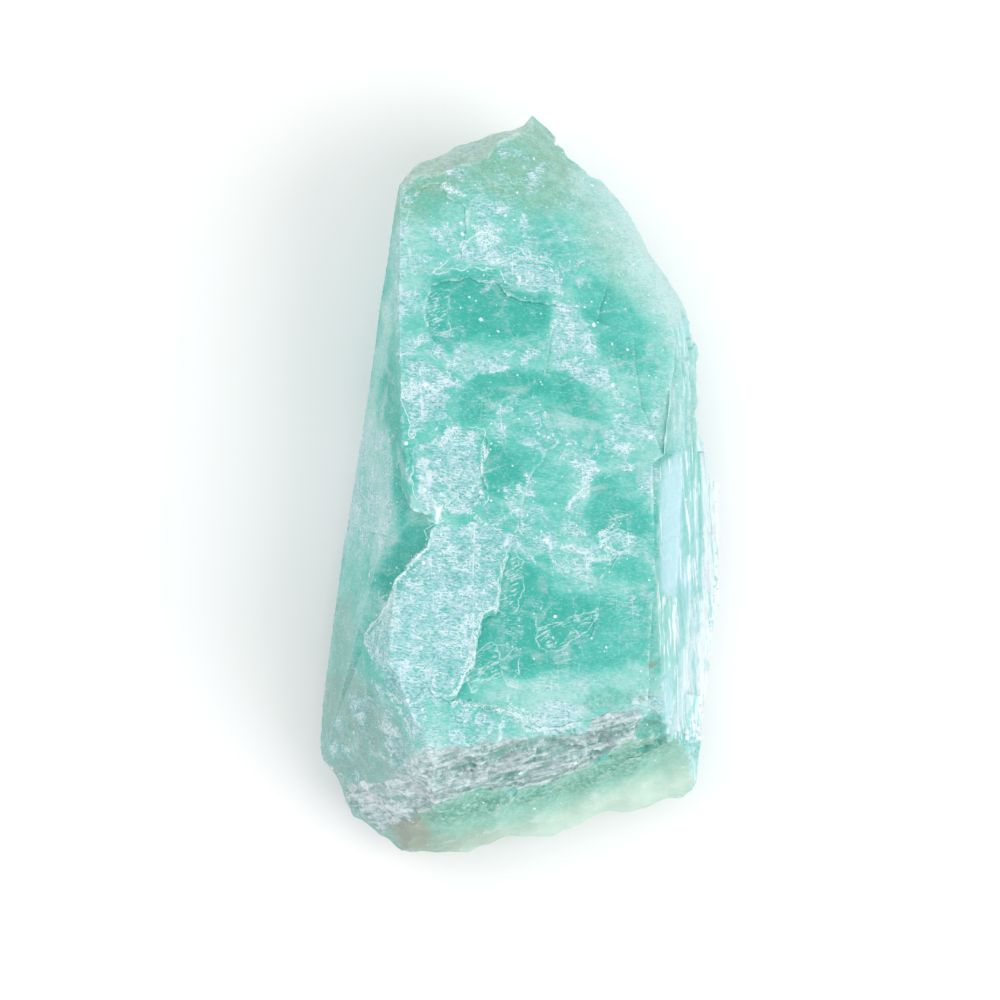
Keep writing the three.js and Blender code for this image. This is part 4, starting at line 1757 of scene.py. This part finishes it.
    def _scratches(self, bench: Bench, at: Socket) -> Socket:
        """Fine white lines: brushed across, in long arcs and as hairs along the length.

        Args:
            bench: The bench of the material.
            at: The places in millimetres.

        Returns:
            How much of a line there is.
        """
        brushed = bench.streaks(bench.swirled(at, 0.25, 0.6), (1.0, 5.6, 2.2), 4, 2.0, 0.6)
        arcs = bench.threads(at, 0.42, 0.017, 1.0, 0.5, 0.8)
        hairs = bench.threads(bench.stretched(at, (0.4, 0.01, 0.15), -2), 1.0, 0.012, 0.0)
        return bench.most(
            bench.times(bench.ease(brushed, 0.51, 0.6), 0.85), bench.times(arcs, 0.95), bench.times(hairs, 0.8),
        )

    def _lace(self, bench: Bench, at: Socket) -> Socket:
        """Nets of bruises with white flecks among them.

        Args:
            bench: The bench of the material.
            at: The places in millimetres.

        Returns:
            How much of a bruise there is.
        """
        here = bench.ease(bench.noise(at, 0.8, 3.0, 0.6), 0.42, 0.56)
        there = bench.ease(bench.noise(at, 1.1, 3.0, 0.6), 0.56, 0.42)
        net = bench.cracks(bench.stretched(bench.swirled(at, 0.5, 0.9, 1.0), (0.6, 1.4, 1.0), 20), 1.0, 0.04)
        small = bench.cracks(bench.swirled(at, 1.1, 0.5, 1.0), 2.2, 0.032)
        flecks = bench.noise(bench.stretched(at, (1.0, 1.5, 1.0), 12), 3.3, 3.0, 0.7)
        flecks = bench.ease(flecks, 0.59, 0.66, 0.9)
        return bench.most(bench.times(net, here), bench.times(small, there, 0.85), flecks)

    def _patch_edges(self, bench: Bench, at: Socket) -> Socket:
        """Thin white lines side by side where a frosted layer ends, thickest where it is bruised and where
        highlights are painted on edges that catch the light.

        Args:
            bench: The bench of the material.
            at: The places in millimetres.

        Returns:
            How much of a line there is.
        """
        # The white patches are bruises, partly painted highlights on edges that catch the light.
        bruised = bench.ease(bench.noted("white"), 0.05, 0.7)
        depth = bench.math("ADD", bench.noted("frost"), bench.sway(bench.noise(at, 0.6, 4.0, 0.6), 0.9))
        lines = bench.ease(bench.math("PINGPONG", depth, 0.2), 0.07, 0.03)
        near = bench.ease(bench.math("ABSOLUTE", depth), 0.28, 0.1)
        gate = bench.ease(bench.noise(at, 0.35, 3.0), 0.44, 0.56)
        swirls = bench.times(bench.noise(bench.stretched(at, (1.0, 1.3, 1.0), 15), 0.8, 3.0, 0.6), 4.0)
        strings = bench.ease(bench.math("PINGPONG", swirls, 0.2), 0.1, 0.04)
        crumbs = bench.ease(bench.noise(bench.swirled(at, 1.5, 0.3), 3.4, 3.0, 0.7), 0.51, 0.58)
        solid = bench.ease(bench.noted("white"), 0.85, 1.1)
        return bench.most(
            bench.times(lines, near, bench.most(bench.times(gate, 0.7), bruised)),
            bench.times(bench.most(strings, crumbs), bruised, 0.85), solid,
        )

    def _leaves(self, bench: Bench, at: Socket) -> Socket:
        """Small split flakes: a thin white outline with fine slanting lines within.

        Args:
            bench: The bench of the material.
            at: The places in millimetres.

        Returns:
            How much of a line there is.
        """
        depth = bench.math("ADD", bench.noted("leaf"), bench.sway(bench.noise(at, 0.9, 3.0, 0.6), 0.7))
        outline = bench.ease(bench.math("ABSOLUTE", depth), 0.08, 0.03)
        gate = bench.ease(bench.noise(at, 0.7, 2.0), 0.34, 0.54)
        brushed = bench.streaks(at, (1.2, 5.0, 2.0), -25, 2.0, 0.6)
        within = bench.times(bench.ease(depth, 0.0, 0.12), bench.ease(bench.noise(at, 1.0, 3.0, 0.6), 0.4, 0.56))
        return bench.most(bench.times(outline, gate, 0.5), bench.times(bench.ease(brushed, 0.5, 0.6), within, 0.5))

    def _faces(self, bench: Bench, at: Socket, colour: Socket) -> Socket:
        """Lays the colours of the faces that look different over the stone's own, with painted shade beside the
        band and painted glare on the right side.

        Args:
            bench: The bench of the material.
            at: The places in millimetres.
            colour: The colour underneath.

        Returns:
            The colour.
        """
        grain = bench.noise(at, 1.9, 3.0, 0.7)
        colour = bench.mix(bench.times(bench.noted("on_foot"), 0.9), colour, self._foot_colour(bench, grain))
        # Painted shade: deeper green under the band's lip.
        colour = bench.mix(bench.times(bench.noted("shade"), bench.ease(grain, 0.7, 0.3)), colour, self.shade)
        colour = bench.mix(bench.noted("stain"), colour, self.stain)
        # Painted glare: the right side's layers are laid paler and whiter where the strong light falls.
        layers_and_glare = bench.most(bench.times(bench.noted("on_stair"), 0.7), bench.noted("bright"))
        colour = bench.mix(layers_and_glare, colour, self._layers_colour(bench, at))
        rind = bench.mix(bench.ease(grain, 0.44, 0.62, 0.7), self.rind, self.mark)
        colour = bench.mix(bench.times(bench.noted("on_head"), 0.5), colour, rind)
        return self._band(bench, at, grain, colour)

    def _foot_colour(self, bench: Bench, grain: Socket) -> Socket:
        """The green grain of the foot, with painted glow: pale where it is thin and light comes through, darker
        where it is thick.

        Args:
            bench: The bench of the material.
            grain: The grain of the broken stone.

        Returns:
            The colour.
        """
        # Painted glow: paler where the foot is thin and light comes through, darker where it is thick.
        thin = bench.times(bench.noted("thickness"), 0.05)
        foot = bench.ramp(thin, (0.16, self.thin_glow), (0.42, self.foot), (0.8, self.foot_deep))
        foot = bench.mix(bench.ease(grain, 0.42, 0.66, 0.4), foot, self.milky)
        return bench.mix(bench.times(bench.noted("pale"), 0.8), foot, self.thin_glow)

    def _layers_colour(self, bench: Bench, at: Socket) -> Socket:
        """The pale layers of the right side, with their torn white edges along them, painted paler and whiter as
        painted glare from the strong light there.

        Args:
            bench: The bench of the material.
            at: The places in millimetres.

        Returns:
            The colour.
        """
        plate = bench.noted("plate")
        fibres = bench.noted("fibrous")
        soft = bench.streaks(at, (0.5, 0.07, 0.7), -3, 3.0, 0.5)
        lines = bench.streaks(bench.swirled(at, 0.3, 0.2), (3.6, 0.16, 1.6), -3, 3.0, 0.55)
        layers = bench.mix(bench.ease(soft, 0.42, 0.62, 0.8), self.edge, self.layers)
        layers = bench.mix(bench.most(plate, fibres), layers, self.layers)
        layers = bench.mix(bench.times(fibres, 0.85), layers, self.fibre)
        white = bench.math("SUBTRACT", lines, bench.times(plate, 0.08))
        layers = bench.mix(bench.ease(white, 0.55, 0.61, 0.95), layers, self.fibre)
        gaps = bench.times(bench.ease(lines, 0.44, 0.38, 0.7), bench.math("SUBTRACT", 1.0, plate))
        layers = bench.mix(gaps, layers, self.edge)
        seams = bench.threads(bench.stretched(at, (1.6, 0.05, 1.4), -3), 1.0, 0.03, 2.0)
        return bench.mix(bench.times(seams, fibres, 0.35), layers, self.blush)

    def _band(self, bench: Bench, at: Socket, grain: Socket, colour: Socket) -> Socket:
        """Lays the grey of the hackly band over a colour, in slanting lenses.

        Args:
            bench: The bench of the material.
            at: The places in millimetres.
            grain: The grain of the broken stone.
            colour: The colour underneath.

        Returns:
            The colour.
        """
        lenses = bench.streaks(at, (0.16, 1.0, 0.55), -15, 4.0, 0.65, 0.4)
        seams = bench.streaks(at, (0.5, 2.2, 1.0), -15, 3.0, 0.65)
        level = bench.about(seams, 0.9, lenses)
        # Painted glow: the band is laid paler within the pale patches.
        level = bench.math("ADD", level, bench.times(bench.noted("pale"), 0.12))
        stops = (0.32, self.crust_deep), (0.46, self.crust), (0.6, self.crust_pale), (0.8, self.fibre)
        crust = bench.ramp(level, *stops)
        crust = bench.mix(bench.ease(bench.noise(at, 0.35, 3.0, 0.6), 0.46, 0.66, 0.4), crust, self.blush)
        crust = bench.mix(bench.ease(grain, 0.5, 0.38, 0.4), crust, self.crust_deep)
        crust = bench.mix(bench.ease(grain, 0.54, 0.68, 0.5), crust, self.mark)
        band = bench.ease(bench.math("ADD", bench.noted("crust"), bench.sway(lenses, 2.4)), 0.2, 0.95, 0.9)
        return bench.mix(band, colour, crust)

    def _specks_and_rim_highlights(self, bench: Bench, at: Socket, colour: Socket) -> Socket:
        """Lays white specks and white ridges over a colour: the ridges partly worn white and partly painted
        highlights.

        Args:
            bench: The bench of the material.
            at: The places in millimetres.
            colour: The colour underneath.

        Returns:
            The colour.
        """
        uneven = bench.swirled(at, 2.2, 0.16)
        specks = bench.most(bench.dots(uneven, 0.5, 0.3, 0.6), bench.times(bench.dots(uneven, 1.3, 0.14, 0.8), 0.9))
        colour = bench.mix(specks, colour, self.mark)
        # Painted highlights with wear: the sharp ridges are laid white, partly worn and partly as highlights.
        rims_and_highlights = bench.times(bench.noted("ridge"), bench.ease(bench.noise(at, 1.1, 4.0, 0.6), 0.36, 0.56))
        return bench.mix(bench.ease(rims_and_highlights, 0.05, 0.6, 0.6), colour, self.mark)

    def _surface(self, bench: Bench, at: Socket, frosted: Socket) -> None:
        """Sets the gloss, the fine relief and the light that goes into the stone.

        Args:
            bench: The bench of the material.
            at: The places in millimetres.
            frosted: How frosted each place is.
        """
        sockets = bench.shader.inputs
        grain = bench.noise(at, 3.5, 2.0, 0.6)
        clear, more_frosted, more_on_band = self.gloss
        rough = bench.math("MULTIPLY_ADD", frosted, more_frosted, clear)
        rough = bench.math("ADD", rough, bench.times(bench.noted("crust"), more_on_band))
        bench.join(bench.math("ADD", rough, bench.ease(grain, 0.3, 0.7, 0.12)), sockets["Roughness"])
        bench.join(bench.bump(grain, self.grain_height, 0.7), sockets["Normal"])
        sockets["IOR"].default_value = self.refraction
        sockets["Specular IOR Level"].default_value = self.shine
        sockets["Subsurface Weight"].default_value = self.milk
        sockets["Subsurface Scale"].default_value = self.milk_depth
        sockets["Subsurface Radius"].default_value = self.milk_tint


SMOOTH_ANGLE = 30


def finish_stone(lump: bpy.types.Object) -> None:
    """Gives the stone its finish.

    Args:
        lump: The stone.
    """
    lump.data.materials.clear()
    lump.data.materials.append(FrostedAmazonite().make())
    lump.data.polygons.foreach_set("material_index", [0] * len(lump.data.polygons))
    pick_only(lump)
    bpy.ops.object.shade_smooth_by_angle(angle=math.radians(SMOOTH_ANGLE))


@dataclass(frozen=True)
class SoftLight:
    """A wide square light that points at the stone.

    Args:
        name: What it is called.
        place: Where it hangs, in metres.
        size: How wide it is, in metres.
        watts: How strong it is.
    """

    name: str
    place: Place
    size: float
    watts: float

    def build(self) -> None:
        """Hangs the light."""
        lamp = bpy.data.lights.new(self.name, "AREA")
        lamp.size = self.size
        lamp.energy = self.watts
        light = bpy.data.objects.new(self.name, lamp)
        light.location = self.place
        light.rotation_euler = (-Vector(self.place)).to_track_quat("-Z", "Y").to_euler()
        bpy.context.collection.objects.link(light)


@dataclass(frozen=True)
class Studio:
    """The plain floor, the soft light and the camera.

    Args:
        floor_size: How wide the floor is, in metres.
        floor_white: How white it is.
        floor_roughness: How rough it is.
        floor_shine: How strongly it shines.
        room_strength: How bright the white surroundings are.
        lights: The soft lights.
        eye: Where the camera is, in metres. It looks straight down.
        scale_height: The height above the floor at which the picture's scale holds, in metres.
        pixels_per_metre: That scale.
        picture: The picture's width in pixels.
        film: The width of the camera's film in millimetres.
    """

    floor_size: float = 6.0
    floor_white: float = 0.93
    floor_roughness: float = 0.9
    floor_shine: float = 0.1
    room_strength: float = 0.85
    lights: tuple[SoftLight, ...] = (
        SoftLight("right_window", (0.75, -0.25, 0.75), 0.8, 5.5),
        SoftLight("left_fill", (-0.6, 0.5, 0.9), 1.0, 2.5),
    )
    eye: Place = (-0.00216, -0.00162, 0.9)
    scale_height: float = 0.012
    pixels_per_metre: float = 9250.0
    picture: int = 1000
    film: float = 36.0

    def build(self) -> None:
        """Sets up the floor, the lights and the camera."""
        self._floor()
        self._surroundings()
        for light in self.lights:
            light.build()
        self._camera()

    def _floor(self) -> None:
        """A wide pale floor."""
        pick_none()
        bpy.ops.mesh.primitive_plane_add(size=self.floor_size, location=(0, 0, 0))
        floor = bpy.context.object
        floor.name = "floor"
        pale = bpy.data.materials.new("pale_floor")
        pale.use_nodes = True
        sockets = pale.node_tree.nodes["Principled BSDF"].inputs
        sockets["Base Color"].default_value = (self.floor_white,) * 3 + (1,)
        sockets["Roughness"].default_value = self.floor_roughness
        sockets["Specular IOR Level"].default_value = self.floor_shine
        floor.data.materials.append(pale)

    def _surroundings(self) -> None:
        """A white room, and plain colours."""
        world = bpy.data.worlds.new("white_room")
        world.use_nodes = True
        sockets = world.node_tree.nodes["Background"].inputs
        sockets["Color"].default_value = (1, 1, 1, 1)
        sockets["Strength"].default_value = self.room_strength
        bpy.context.scene.world = world
        bpy.context.scene.view_settings.view_transform = "Standard"

    def _camera(self) -> None:
        """A long lens straight above the stone."""
        lens = bpy.data.cameras.new("camera")
        lens.sensor_width = self.film
        lens.lens = self.film * self.pixels_per_metre * (self.eye[2] - self.scale_height) / self.picture
        camera = bpy.data.objects.new("camera", lens)
        camera.location = self.eye
        bpy.context.collection.objects.link(camera)
        bpy.context.scene.camera = camera


def main() -> None:
    """Builds the stone and the studio, and reports each piece."""
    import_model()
    logging.basicConfig(level=logging.INFO)
    stone = AmazoniteStone()
    lump = stone.build()
    finish_stone(lump)
    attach(lump, BODY)
    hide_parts(NODE)
    triangles = sum(len(polygon.vertices) - 2 for polygon in lump.data.polygons)
    LOG.info("%s: %d triangles", lump.name, triangles)
    Studio().build()


if __name__ == "__main__":
    main()
